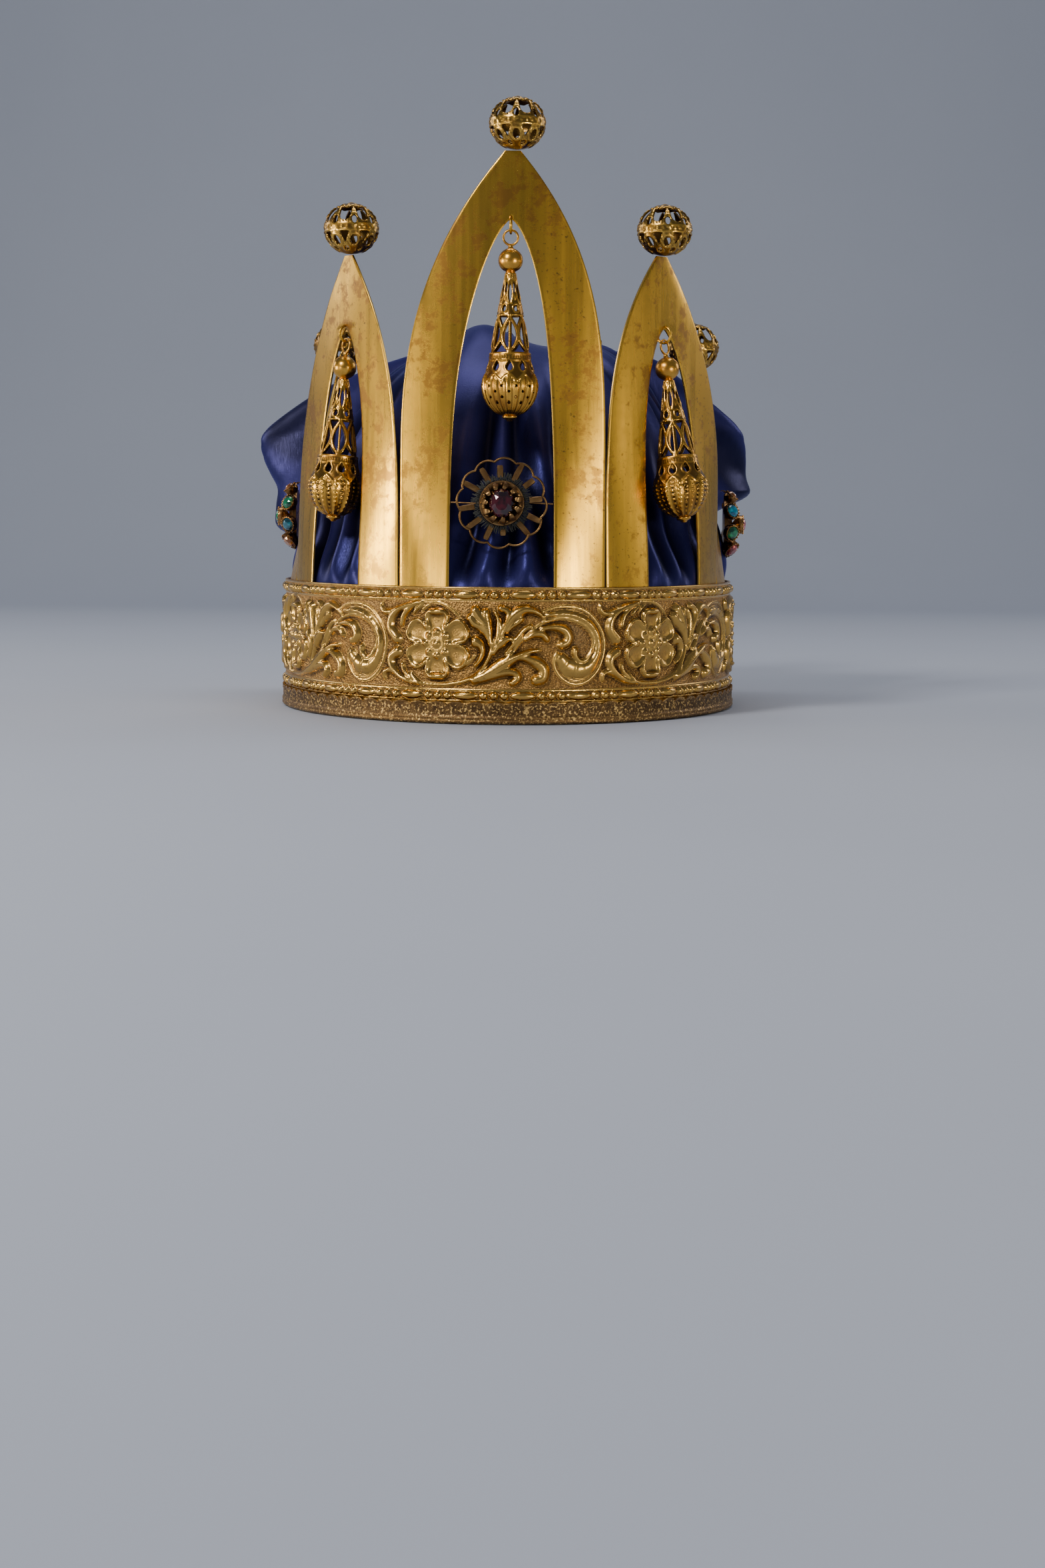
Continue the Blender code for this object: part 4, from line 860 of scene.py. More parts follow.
def pierced(place, clearance, turns_round, levels, wall, lift):
    """A shell pierced wherever clearance is negative, its edges drawn onto the openings' outlines.

    clearance and lift take turns and levels and give metres; place takes them and how far out.
    """
    turn, level = np.meshgrid(turns_round, levels)
    rows, columns = turn.shape
    q = clearance(turn, level)
    quads = grid_faces(rows, columns)
    kept = q.ravel()[quads].mean(1) > 0.0
    shown = np.zeros(rows * columns, bool)
    shown[quads[kept].ravel()] = True
    cut = np.zeros(rows * columns, bool)
    cut[quads[~kept].ravel()] = True
    rim = (shown & cut).reshape(rows, columns)
    cell_turn = turns_round[1] - turns_round[0]
    cell_level = float(np.mean(np.diff(levels)))
    for _ in range(2):
        q = clearance(turn, level)
        by_turn = (clearance(turn + TRIAL_STEP * cell_turn, level) - q) / TRIAL_STEP
        by_level = (clearance(turn, level + TRIAL_STEP * cell_level) - q) / TRIAL_STEP
        slope = by_turn ** 2 + by_level ** 2 + 1e-12
        turn_step = np.clip(q * by_turn / slope, -LONGEST_STEP, LONGEST_STEP)
        level_step = np.clip(q * by_level / slope, -LONGEST_STEP, LONGEST_STEP)
        turn = np.where(rim, turn - turn_step * cell_turn, turn)
        level = np.where(rim, level - level_step * cell_level, level)
    q = np.maximum(clearance(turn, level), 0.0)
    rise = lift(turn, level, q)
    outer = place(turn, level, rise).reshape(-1, 3)
    inner = place(turn, level, -wall + 0.0 * rise).reshape(-1, 3)
    number = np.cumsum(shown) - 1
    faces = [tuple(int(number[i]) for i in quad) for quad in quads[kept]]
    points, body = shell_of(outer[shown], inner[shown], faces)
    shade = 0.6 * np.clip(0.9 - rise.ravel()[shown] / 0.0002, 0.0, 1.0)
    return points, body, np.concatenate([shade, np.ones_like(shade)])


def make_balls():
    finish = gilt_brass()
    turns_round = np.arange(BALL_COLUMNS) / BALL_COLUMNS * 2 * math.pi
    levels = np.linspace(0.012, 0.988, BALL_ROWS) * math.pi

    def place(turn, polar, out):
        x = (BALL_RADIUS + out) * np.sin(polar) * np.sin(turn)
        y = -(BALL_RADIUS + out) * np.sin(polar) * np.cos(turn)
        return np.stack([x, y, (BALL_HALF_HEIGHT + out) * np.cos(polar)], -1)

    def clearance(turn, polar):
        sector = 2 * math.pi / BALL_SECTORS
        reach = 1000.0 * BALL_RADIUS * np.maximum(np.sin(polar), 0.05)
        y = 1000.0 * BALL_RADIUS * polar
        x = np.abs(wrap(turn, sector)) * reach
        bowl = np.hypot(x, np.maximum(y - CUP_LOW, 0.0)) - CUP_HALF
        cup = np.maximum(bowl, CUP_TOP + CUP_SAG * (CUP_HALF - x) - y)
        wedge = np.maximum(x - WEDGE_HALF * (1.0 - (y - WEDGE_TOP) / WEDGE_LENGTH), WEDGE_TOP - y)
        openings = [cup, wedge]
        for at, half, tall, away in BALL_OVALS:
            openings.append(oval(wrap(turn + away * sector, sector) * reach, y - at, half, tall))
        return 0.001 * np.minimum.reduce(openings)

    def lift(turn, polar, q):
        y = BALL_RADIUS * polar
        rim = 0.00030 * bump(q - 0.00036, 0.00020)
        belt = 0.00022 * (bump(y - 0.0132, 0.00022) + bump(y - 0.0153, 0.00022))
        grains = 0.00034 * np.clip(np.cos(turn * BALL_GRAINS), 0.0, 1.0) * bump(y - 0.01425, 0.00045)
        knobs = 0.00022 * np.clip(np.cos(turn * BALL_SECTORS), 0.0, 1.0) * bump(y - 0.0030, 0.0008)
        knobs = knobs + 0.00045 * bump(y, 0.0011)
        return np.maximum.reduce([rim, belt, grains, knobs])

    points, faces, dark = pierced(place, clearance, turns_round, levels, BALL_WALL, lift)
    for number, (arch, facts) in enumerate(ARCHES.items()):
        tip = on_arch(arch, facts[8], facts[2], ARCH_MIDDLE)
        middle = Vector(tip) + Vector((0.0, 0.0, SEAT_GAP + BALL_HALF_HEIGHT))
        turned = Matrix.Translation(middle) @ Matrix.Rotation(0.9 * number + 0.35, 4, 'Z')
        ball = piece("ball_" + arch, points, faces, finish, "crown", ("finial_" + arch,),
                     70.0, turned)
        paint(ball, "hollow_shade", dark)


make_balls()

# The drops: a plain bead over a pierced cone and a ribbed bulb of stamped gilt brass, each hung
# by a wire eye in its arch's hook. The front one has plain ribs, and the shoulder ones beaded ribs.
DROP_WALL = 0.0006
EYE_RADIUS = 0.0024
EYE_WIRE = 0.0008
EYE_CLEARANCE = 0.0002
DROP_COLUMNS = 168
DROP_TILTS = {"front": 0.0, "shoulder_right": 8.5, "shoulder_left": 5.0}
# Profiles as depth below the hook and radius, in millimetres.
NECK_PROFILE = (
    # stub, bead and neck
    (4.9, 0.0), (5.0, 0.8), (5.9, 0.9), (6.1, 1.6), (6.5, 2.3), (7.1, 3.0), (7.9, 3.6), (8.8, 3.95),
    (9.8, 4.05), (10.8, 3.95), (11.7, 3.6), (12.4, 3.1), (13.0, 2.4), (13.3, 1.7), (13.6, 1.5),
    (13.9, 1.9), (14.4, 1.9), (14.5, 0.0),
)
SHELL_PROFILE = (
    # cone, collar and bulb
    (14.2, 1.75), (15.5, 1.95), (18.0, 2.45), (21.0, 3.05), (25.0, 3.85), (30.0, 4.80), (35.0, 5.70),
    (39.0, 6.45), (40.2, 6.75), (42.4, 6.95), (43.0, 7.05), (45.5, 7.85), (47.5, 8.55), (49.6, 8.85),
    (51.5, 8.80), (54.0, 8.20), (56.5, 6.95), (58.5, 5.15), (59.6, 3.50), (60.2, 1.90),
)
TIP_PROFILE = ((59.7, 0.0), (59.9, 2.2), (60.5, 2.5), (60.9, 2.3), (61.2, 1.4), (61.9, 0.8), (62.0, 0.0))
# Openings as depth, half width and half height, in millimetres.
SLOT = (20.2, 0.55, 2.7)
SLIM_SLOT = (18.6, 0.42, 1.9)
EYELET = (25.4, 0.80, 1.05)
LATTICE_TOP = 27.4
LATTICE_LOW = 39.6
STRAP_HALF = 0.50
POST_HALF = 0.38
DOOR_SPRING = 44.4
DOOR_HALF = 1.15
HOLES_FROM = 49.6
HOLES_TO = 57.6
FAR = 9.0
CONE_STEP = 0.42
BULB_FROM = 43.0
BULB_STEP = 0.34


def drop_clearance(turn, depth, beaded):
    """Metal left round the openings of a drop's shell, in metres, negative in an opening."""
    y = 1000.0 * depth
    r = np.interp(y, *np.transpose(SHELL_PROFILE))
    six = math.pi / 3
    x = wrap(turn, six) * r
    off = wrap(turn + 0.5 * six, six) * r
    openings = []
    for across, (at, half, tall) in ((x, SLOT), (off, SLIM_SLOT)):
        openings.append(np.where(np.abs(y - at) < 4.0, oval(across, y - at, half, tall), FAR))
    at, half, tall = EYELET
    openings.append(0.85 * (np.hypot(off / half, (y - at) / tall) - 1.0))

    fold = np.abs(wrap(turn, six)) / (0.5 * six)
    share = np.clip((y - LATTICE_TOP - 0.8) / (LATTICE_LOW - LATTICE_TOP - 1.0), 0.0, 1.0)
    fan = np.abs(fold - np.sin(math.pi * share) ** 0.9) * 0.5 * six * r * 0.82
    post = np.where((share > 0.10) & (share < 0.93), np.abs(x) - POST_HALF, FAR)
    strap = np.minimum(fan - STRAP_HALF, post)
    in_lattice = np.minimum(y - LATTICE_TOP - 0.5, LATTICE_LOW - y)
    openings.append(-np.minimum(strap, in_lattice))

    door = np.abs(wrap(turn, math.pi / 5) * r) / DOOR_HALF
    foot = np.hypot(door, (y - DOOR_SPRING) / 1.3) - 1.0
    point = door + np.clip((DOOR_SPRING - y) / 2.1, 0.0, 9.0) ** 1.5 - 1.0
    openings.append(np.where(y > DOOR_SPRING, foot, point))

    valley = 2 * math.pi / 24
    even = (np.round(turn / valley).astype(int) % 2) == 0
    bored = (y > HOLES_FROM) & (y < HOLES_TO)
    if beaded:
        bored = bored & ~even
        hole_y = wrap(y - 49.0, 1.55)
        hole = 0.32
    else:
        hole_y = wrap(y - np.where(even, 48.9, 50.7), 3.6)
        hole = 0.50
    openings.append(np.where(bored, np.hypot(wrap(turn, valley) * r, hole_y) - hole, FAR))
    return 0.001 * np.minimum.reduce(openings)


def drop_lift(turn, depth, q, beaded):
    """How far the stamped ornament of a drop's shell stands out, in metres."""
    y = 1000.0 * depth
    rim = 0.00022 * bump(q - 0.00030, 0.00017)
    collar = 0.00020 * (bump(y - 40.3, 0.22) + bump(y - 42.2, 0.22))
    milled = 0.00020 * np.clip(np.cos(turn * 48), 0.0, 1.0) * bump(y - 41.2, 0.35)
    zigzag_at = 46.6 + 2.5 * np.abs(wrap(turn * 10, 2 * math.pi)) / math.pi
    zigzag = 0.00045 * bump(y - zigzag_at, 0.42)
    if beaded:
        beads = np.clip(np.cos(turn * 24), 0.0, 1.0) * (0.5 + 0.5 * np.cos(2 * math.pi * y / 1.36))
        bulb = 0.00050 * np.abs(np.cos(turn * 6)) ** 0.8 + 0.00060 * beads
    else:
        ribs = np.abs(np.cos(turn * 12))
        bulb = 0.00095 * ribs ** 0.7 * (1.0 - 0.35 * bump(ribs - 1.0, 0.06))
    in_bulb = smoothstep((y - zigzag_at) / 0.9) * smoothstep((60.4 - y) / 1.2)
    neck = 0.00018 * np.abs(np.cos(turn * 6)) * smoothstep((19.0 - y) / 4.0)
    return np.maximum.reduce([rim, collar, milled, zigzag, bulb * in_bulb, neck]) - 0.0003 * in_bulb


def lathed(profile, sides):
    """A body turned about Z from (depth, radius) rows in millimetres, going down."""
    turn = 2 * math.pi * np.arange(sides) / sides
    points = []
    rings = []
    for depth, radius in profile:
        z = -0.001 * depth
        r = 0.001 * radius
        if radius == 0.0:
            rings.append([len(points)])
            points.append((0.0, 0.0, z))
        else:
            rings.append(list(range(len(points), len(points) + sides)))
            points += [(r * math.sin(t), -r * math.cos(t), z) for t in turn]
    faces = []
    for above, below in zip(rings, rings[1:]):
        for k in range(sides):
            j = (k + 1) % sides
            face = (above[k % len(above)], below[k % len(below)],
                    below[j % len(below)], above[j % len(above)])
            faces.append(tuple(dict.fromkeys(face)))
    return np.array(points), faces


def place_drop(arch):
    """The drop's own frame: its pivot in the hook, X along the sheet and -Y out of the crown."""
    normal = outward(ARCHES[arch][0])
    lift = 0.5 * HOOK_WIRE + 0.5 * EYE_WIRE + EYE_CLEARANCE - HOOK_RADIUS
    at = Vector(hook_place(arch)) + Vector((0.0, 0.0, lift))
    turned = Matrix.Rotation(math.atan2(normal.x, -normal.y), 4, 'Z')
    return Matrix.Translation(at) @ turned @ Matrix.Rotation(-math.radians(DROP_TILTS[arch]), 4, 'X')


def make_drops():
    finish = gilt_brass("gilt_drop_brass", (0.80, 0.435, 0.072), (0.44, 0.205, 0.038))
    turns_round = np.arange(DROP_COLUMNS) / DROP_COLUMNS * 2 * math.pi
    top = SHELL_PROFILE[0][0]
    low = SHELL_PROFILE[-1][0]
    cone = np.arange(top, BULB_FROM, CONE_STEP)
    levels = np.concatenate([cone, np.arange(BULB_FROM, low, BULB_STEP), [low]]) / 1000.0
    fine = smooth_path(SHELL_PROFILE, 0.3)
    order = np.argsort(fine[:, 0])

    def place(turn, depth, out):
        r = 0.001 * np.interp(1000.0 * depth, fine[order, 0], fine[order, 1]) + out
        return np.stack([r * np.sin(turn), -r * np.cos(turn), -depth], -1)

    for arch, body in DROP_BODIES.items():
        beaded = arch != "front"
        shell = pierced(place, lambda t, d: drop_clearance(t, d, beaded), turns_round, levels, DROP_WALL,
                        lambda t, d, q: drop_lift(t, d, q, beaded))
        eye = upright_ring((0.0, 0.0, -EYE_RADIUS), (1.0, 0.0, 0.0), EYE_RADIUS, EYE_WIRE)
        points, faces = gathered([eye, lathed(NECK_PROFILE, 40), lathed(TIP_PROFILE, 24), shell[:2]])
        drop = piece("hanging_" + arch, points, faces, finish, body, ("drop_" + arch,),
                     70.0, place_drop(arch))
        plain = len(points) - len(shell[2])
        paint(drop, "hollow_shade", np.concatenate([np.zeros(plain), shell[2]]))


make_drops()

# The rosette brooch: a scalloped ring of bronze wire on twelve flat spokes, round a cup of curled
# leaves and small pearls that holds one faceted dark red stone. Dark bristles stand out round the cup.
ROSETTE_RADIUS = 0.0142
ROSETTE_SCALLOP = 0.00062
ROSETTE_LOBES = 12
ROSETTE_WIRE = 0.0008
ROSETTE_HEIGHT = 0.0275
ROSETTE_FORWARD = 0.0020
STONE_WIDTH = 0.0082
STONE_HEIGHT = 0.0094
STONE_DEPTH = 0.0042
STONE_SEAT = 0.0037
SPOKE_WIDTH = 0.0021
SPOKE_END_WIDTH = 0.0017
SPOKE_REACH = 0.0143
SPOKES = (
    # turn in degrees, and where the spoke starts and ends in millimetres from the middle
    (93, 8.4, 12.4), (62, 8.2, 13.6), (36, 9.0, 13.0), (6, 9.2, 13.4), (335, 9.4, 13.8),
    (311, 8.0, 13.6), (273, 8.2, 10.6), (246, 7.6, 13.0), (216, 8.0, 13.6), (188, 9.0, 13.8),
    (152, 7.8, 13.9), (121, 7.6, 13.2),
)
CUP_PROFILE = (
    # depth and radius in millimetres: from the floor over the rolled rim to the flat back
    (-0.6, 0.0), (-0.6, 4.0), (-1.4, 4.6), (-1.9, 6.0), (-2.3, 6.9), (-2.2, 7.3), (-1.6, 7.45),
    (-0.6, 7.1), (0.6, 5.8), (1.2, 4.0), (1.2, 0.0),
)
CUP_LEAVES = 11
STONE_CLAWS = 4
BRISTLES = 300
BRISTLE_ROOT = 0.0066
BRISTLE_RADIUS = 0.00016


def rosette_place():
    """The brooch's own frame: its face towards +Z, X across and Y up on the crown."""
    at = Vector(on_arch("front", 0.0, ROSETTE_HEIGHT, ARCH_MIDDLE)) - Vector((0.0, ROSETTE_FORWARD, 0.0))
    return Matrix.Translation(at) @ Matrix.Rotation(math.pi / 2, 4, 'X')


def aged_bronze():
    """Brown old bronze, yellower where it is rubbed, and nearly black where painted shade lies in its
    hollows.
    """
    bronze = Finish("aged_bronze_brooch", Metallic=1.0, Roughness=0.36)
    cloud = bronze.noise(260.0, 4.0)
    colour = bronze.blended(bronze.between(cloud, 0.35, 0.65), (0.38, 0.225, 0.090), (0.15, 0.080, 0.034))
    colour = bronze.blended(bronze.painted("hollow_shade"), colour, (0.055, 0.028, 0.012))
    rough = bronze.between(cloud, 0.3, 0.7, 0.30, 0.48)
    normal = bronze.raised(bronze.noise(1200.0, 3.0), 0.00010, 0.4)
    return bronze.skin(colour, rough, normal)


def ray(angle, reach, height=0.0):
    """A point at an angle and a reach from the middle of a brooch, and a height over its back."""
    return np.array((math.cos(angle) * reach, math.sin(angle) * reach, height))


def flat_bar(start, end, width, thick, lift=0.0, curl=0.0, taper=1.0):
    """A thin bar or leaf in the XY plane from one point to another, humped by lift, its end curled up."""
    start = np.asarray(start, float)
    end = np.asarray(end, float)
    along = (end - start) / np.linalg.norm(end - start)
    side = np.cross((0.0, 0.0, 1.0), along)
    stations = np.linspace(0.0, 1.0, 9)
    section = ((-1, -0.3), (-0.8, 0.35), (0, 0.5), (0.8, 0.35), (1, -0.3), (0, -0.5))
    rings = []
    for t in stations:
        centre = start + (end - start) * t
        centre = centre + np.array((0.0, 0.0, lift * math.sin(math.pi * t) + curl * t * t))
        half = 0.5 * width * (1.0 + (taper - 1.0) * t) * (1.0 if t < 0.99 else 0.8)
        rings.append([centre + side * half * a + np.array((0.0, 0.0, thick * b)) for a, b in section])
    faces = [tuple(reversed(face)) for face in grid_faces(len(stations), 6).tolist()]
    faces.append((0, 1, 2, 3, 4, 5))
    last = 6 * (len(stations) - 1)
    faces.append(tuple(last + k for k in (5, 4, 3, 2, 1, 0)))
    return np.concatenate(rings), faces


def pearl(centre, radius, sides=12):
    """A small ball."""
    polars = [math.pi * k / 8 for k in range(1, 8)]
    rows = [(-radius * math.cos(polar), radius * math.sin(polar)) for polar in polars]
    rows = [(-radius, 0.0), *rows, (radius, 0.0)]
    points, faces = lathed([(1000.0 * a, 1000.0 * b) for a, b in rows], sides)
    return points + np.asarray(centre, float), faces


def rosette_parts():
    """The shells of the brooch: scalloped wire, spokes, cup, leaves with pearls, and claws."""
    turn = 2 * math.pi * np.arange(288) / 288
    scallop = 2.0 * np.abs(np.cos(0.5 * ROSETTE_LOBES * turn + 0.5)) ** 0.75 - 1.1
    reach = ROSETTE_RADIUS + ROSETTE_SCALLOP * scallop
    path = np.stack([reach * np.cos(turn), reach * np.sin(turn), 0.0004 * np.sin(5 * turn)], -1)
    parts = [wire(path, 0.5 * ROSETTE_WIRE, 8, True)]
    for degrees, start, end in SPOKES:
        out = ray(math.radians(degrees), 1.0)
        parts.append(flat_bar(out * start / 1000.0, out * end / 1000.0, SPOKE_WIDTH,
                              0.0006, 0.0002, 0.0, 0.95))
        if end > 13.4:
            parts.append(flat_bar(out * (end - 0.3) / 1000.0, out * SPOKE_REACH, SPOKE_END_WIDTH, 0.0004))
    parts.append(lathed(CUP_PROFILE, 60))
    for k in range(CUP_LEAVES):
        angle = 2 * math.pi * (k + 0.25) / CUP_LEAVES
        side = np.array((-math.sin(angle), math.cos(angle), 0.0))
        low = ray(angle, 0.0069, 0.0021)
        high = ray(angle, 0.0046, 0.0040) + side * 0.0007
        parts.append(flat_bar(low, high, 0.0032, 0.0008, 0.0009, 0.0, 0.50))
        if k % 2 == 0:
            parts.append(pearl(ray(angle, 0.0060, 0.0029) + side * 0.0017, 0.00058))
    for k in range(STONE_CLAWS):
        angle = 2 * math.pi * (k + 0.45) / STONE_CLAWS
        low = ray(angle, 0.0050, 0.0030)
        parts.append(flat_bar(low, ray(angle, 0.0038, 0.0046), 0.0010, 0.0006, 0.0004, 0.0, 0.7))
    return parts


def make_rosette():
    at = rosette_place()
    points, faces = gathered(rosette_parts())
    made = piece("brooch_rosette", points, faces, aged_bronze(), "crown", ("rosette_brooch",),
                 50.0, at)
    reach = np.hypot(points[:, 0], points[:, 1])
    floor = (reach < 0.0066) & (points[:, 2] < 0.0021)
    # Painted shade: deepest on the cup's floor, faint on the cup and leaves, a little on the spokes and ring.
    paint(made, "hollow_shade", np.where(floor, 0.65, np.where(reach < 0.0076, 0.12, 0.30)))

    thread = Finish("dark_thread", Roughness=0.75, Sheen_Weight=0.25)
    shade = thread.blended(thread.noise(800.0), (0.012, 0.016, 0.013), (0.004, 0.005, 0.006))
    thread.skin(shade, None, thread.raised(thread.noise(3000.0), 0.0002, 0.6))
    bristles = []
    rng = np.random.default_rng(11)
    for k in range(BRISTLES):
        angle = 2 * math.pi * (k + rng.uniform(-0.4, 0.4)) / BRISTLES
        far = rng.uniform(0.0084, 0.0102)
        lean = rng.uniform(-0.12, 0.12)
        middle = ray(angle + 0.5 * lean, 0.5 * (BRISTLE_ROOT + far), rng.uniform(0.0, 0.0009))
        path = [ray(angle, BRISTLE_ROOT, -0.0004), middle, ray(angle + lean, far, -0.0003)]
        bristles.append(wire(path, BRISTLE_RADIUS, 5))
    points, faces = gathered(bristles)
    piece("brooch_thread", points, faces, thread.material, "crown", (), 60.0, at)


def cut_glass(name, tint, deep):
    """Foil-backed paste: bright facets over a dark body with no see-through edge, and painted shade where it
    is seen edge-on.
    """
    glass = Finish(name, Roughness=0.06, IOR=1.56, Coat_Weight=1.0, Coat_Roughness=0.03, Metallic=0.35)
    # Painted shade: the colour turns to the deep tone where the stone is seen edge-on.
    facing = glass.node('ShaderNodeLayerWeight', {"Blend": 0.35}).outputs["Facing"]
    fire = glass.between(glass.noise(420.0, 1.0), 0.38, 0.62)
    colour = glass.blended(fire, tint, deep)
    colour = glass.blended(facing, colour, deep)
    return glass.skin(colour, None, glass.raised(glass.noise(300.0, 1.0), 0.0001, 0.15))


GARNET = cut_glass("garnet_paste", (0.085, 0.008, 0.018), (0.014, 0.004, 0.007))
# Rings of a cut stone, from its table down: share of its width, and level as a share of its depth.
STONE_RINGS = ((0.50, 0.46), (0.80, 0.30), (1.0, 0.04), (1.0, -0.06), (0.55, -0.36))


def faceted_stone(width, height, depth, sides=12):
    """A table, two rings of crown facets, a girdle and a pointed back."""
    points = []
    rings = []
    for number, (share, level) in enumerate(STONE_RINGS):
        rings.append(list(range(len(points), len(points) + sides)))
        for k in range(sides):
            angle = 2 * math.pi * (k + 0.5 * (number % 2)) / sides
            x = 0.5 * width * share * math.cos(angle)
            y = 0.5 * height * share * math.sin(angle)
            points.append((x, y, depth * level))
    culet = len(points)
    points.append((0.0, 0.0, -0.5 * depth))
    faces = [tuple(rings[0])]
    for number, (above, below) in enumerate(zip(rings, rings[1:])):
        for k in range(sides):
            j = (k + 1) % sides
            if number % 2 == 0:
                faces += [(above[k], below[k], above[j]), (above[j], below[k], below[j])]
            else:
                faces += [(above[k], below[k], below[j]), (above[k], below[j], above[j])]
    faces += [(rings[-1][k], culet, rings[-1][(k + 1) % sides]) for k in range(sides)]
    return points, faces


def make_garnet():
    points, faces = faceted_stone(STONE_WIDTH, STONE_HEIGHT, STONE_DEPTH)
    at = rosette_place() @ Matrix.Translation((0.0, 0.0, STONE_SEAT))
    piece("garnet_stone", points, faces, GARNET, "crown", ("rosette_stone",), 5.0, at)


make_rosette()
make_garnet()

# The holding wire: a thin wire across the front window, behind the rosette, from leg to leg.
HOLDING_RADIUS = 0.00026


def make_holding_wire():
    _, inner = arch_outline("front", np.array([ROSETTE_HEIGHT]))
    u = np.linspace(-1.0, 1.0, 25) * (inner[0] - SEAT_GAP)
    path = on_arch("front", u, ROSETTE_HEIGHT + 0.0002 * np.sin(u / 0.004), ARCH_MIDDLE)
    points, faces = wire(path, HOLDING_RADIUS)
    bronze = bpy.data.materials["aged_bronze_brooch"]
    made = piece("cross_wire", points, faces, bronze, "crown", ("holding_wire",))
    paint(made, "hollow_shade", np.zeros(len(points)))


make_holding_wire()

# The cluster brooches: eight paste stones in gilt cups on a domed plate, pinned to the satin in
# each side window. Every cup has a milled rim, and a leaf rises at the top.
SIDE_PLACES = {"right": FRONT_PLACE + SIDE_STEP, "left": FRONT_PLACE - SIDE_STEP}
CLUSTER_RADIUS = 0.0102
CLUSTER_BACK = 0.0052
CLUSTER_DOME = 0.0038
CLUSTER_LEAN = math.radians(52.0)
CLUSTER_PLATE = ((-1.7, 0.0), (-1.7, 4.0), (0.1, 9.6), (1.3, 9.6), (1.3, 0.0))
CUP_GRAINS = 16
GLASS_FREE = 0.0003
PASTE_DEPTH = 0.0024
PASTE_SEAT = 0.0007
CLUSTER_STONES = (
    # stone, turn in degrees, share of the radius, width in metres, glass on the right and on the left
    ("top", 100.0, 1.0, 0.0040, "amber", "amber"),
    ("upper_front", 152.0, 1.0, 0.0050, "turquoise", "emerald"),
    ("lower_front", 196.0, 1.0, 0.0050, "emerald", "sea"),
    ("bottom_front", 238.0, 1.0, 0.0054, "ruby", "amber"),
    ("bottom_back", 292.0, 1.0, 0.0046, "emerald", "emerald"),
    ("lower_back", 340.0, 1.0, 0.0046, "emerald", "ruby"),
    ("upper_back", 40.0, 1.0, 0.0046, "emerald", "emerald"),
    ("middle", 0.0, 0.0, 0.0056, "rose", "emerald"),
)
PASTE = {
    "amber": cut_glass("amber_paste", (0.62, 0.24, 0.05), (0.16, 0.055, 0.012)),
    "turquoise": cut_glass("turquoise_paste", (0.02, 0.50, 0.72), (0.004, 0.10, 0.22)),
    "emerald": cut_glass("emerald_paste", (0.01, 0.36, 0.15), (0.002, 0.055, 0.035)),
    "sea": cut_glass("sea_paste", (0.02, 0.20, 0.30), (0.004, 0.045, 0.075)),
    "ruby": cut_glass("ruby_paste", (0.62, 0.07, 0.07), (0.12, 0.008, 0.012)),
    "rose": cut_glass("rose_paste", (0.80, 0.32, 0.38), (0.28, 0.05, 0.08)),
}


def stone_cup(width, leafed):
    """The shells of one stone's cup, with a ring of grains round its rim and perhaps three leaves."""
    radius = 500.0 * width
    shells = [lathed(((-0.5, radius - 0.2), (-0.9, radius + 0.05), (-0.8, radius + 0.45),
                      (0.0, radius + 0.60), (1.2, radius + 0.40), (3.2, 0.6), (3.4, 0.0), (3.3, 0.0),
                      (0.6, radius - 0.5)), 32)]
    for k in range(CUP_GRAINS):
        turn = 2 * math.pi * k / CUP_GRAINS
        shells.append(pearl(ray(turn, 0.001 * (radius + 0.42), 0.00080), 0.00032, 6))
    if leafed:
        for bend in (-0.9, 0.0, 0.9):
            shells.append(flat_bar(ray(bend, 0.0022), ray(bend, 0.0043), 0.0018,
                                   0.0005, 0.0004, -0.0006, 0.25))
    return shells


def make_clusters():
    finish = gilt_brass("brooch_gilt", (0.48, 0.27, 0.10), (0.22, 0.11, 0.04))
    for side, place in SIDE_PLACES.items():
        on_right = side == "right"
        low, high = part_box("stone_%s_middle" % side)
        heart = 0.5 * (low + high)
        normal = outward(place)
        up = Vector((0.0, 0.0, 1.0))
        turned = Matrix((up.cross(normal), up, normal)).transposed().to_4x4()
        at = Matrix.Translation(heart - normal * CLUSTER_BACK) @ turned
        parts = [lathed(CLUSTER_PLATE, 24)]
        for label, degrees, share, width, right_glass, left_glass in CLUSTER_STONES:
            glass = right_glass if on_right else left_glass
            angle = math.radians(degrees if on_right else 180.0 - degrees)
            rise = 0.0012 + CLUSTER_DOME * (1.0 - share * share)
            spot = Matrix.Translation(ray(angle, CLUSTER_RADIUS * share, rise))
            cup = spot @ Matrix.Rotation(angle, 4, 'Z') @ Matrix.Rotation(CLUSTER_LEAN * share, 4, 'Y')
            for points, faces in stone_cup(width, label == "top"):
                parts.append(([tuple(cup @ Vector(point)) for point in points], faces))
            cut, cut_faces = faceted_stone(width - GLASS_FREE, width - GLASS_FREE, PASTE_DEPTH, 10)
            seat = at @ cup @ Matrix.Translation((0.0, 0.0, PASTE_SEAT))
            piece("paste_%s_%s" % (side, label), cut, cut_faces, PASTE[glass], "crown",
                  ("stone_%s_%s" % (side, label),), 5.0, seat)
        points, faces = gathered(parts)
        brooch = piece("brooch_" + side, points, faces, finish, "crown",
                       ("cluster_brooch_" + side,), 50.0, at)
        # Painted shade: the gilt darkens the nearer it lies to the back plate, under the cups and stones.
        paint(brooch, "hollow_shade", np.clip(0.9 - (points[:, 2] - 0.0004) / 0.003, 0.1, 0.9))


make_clusters()

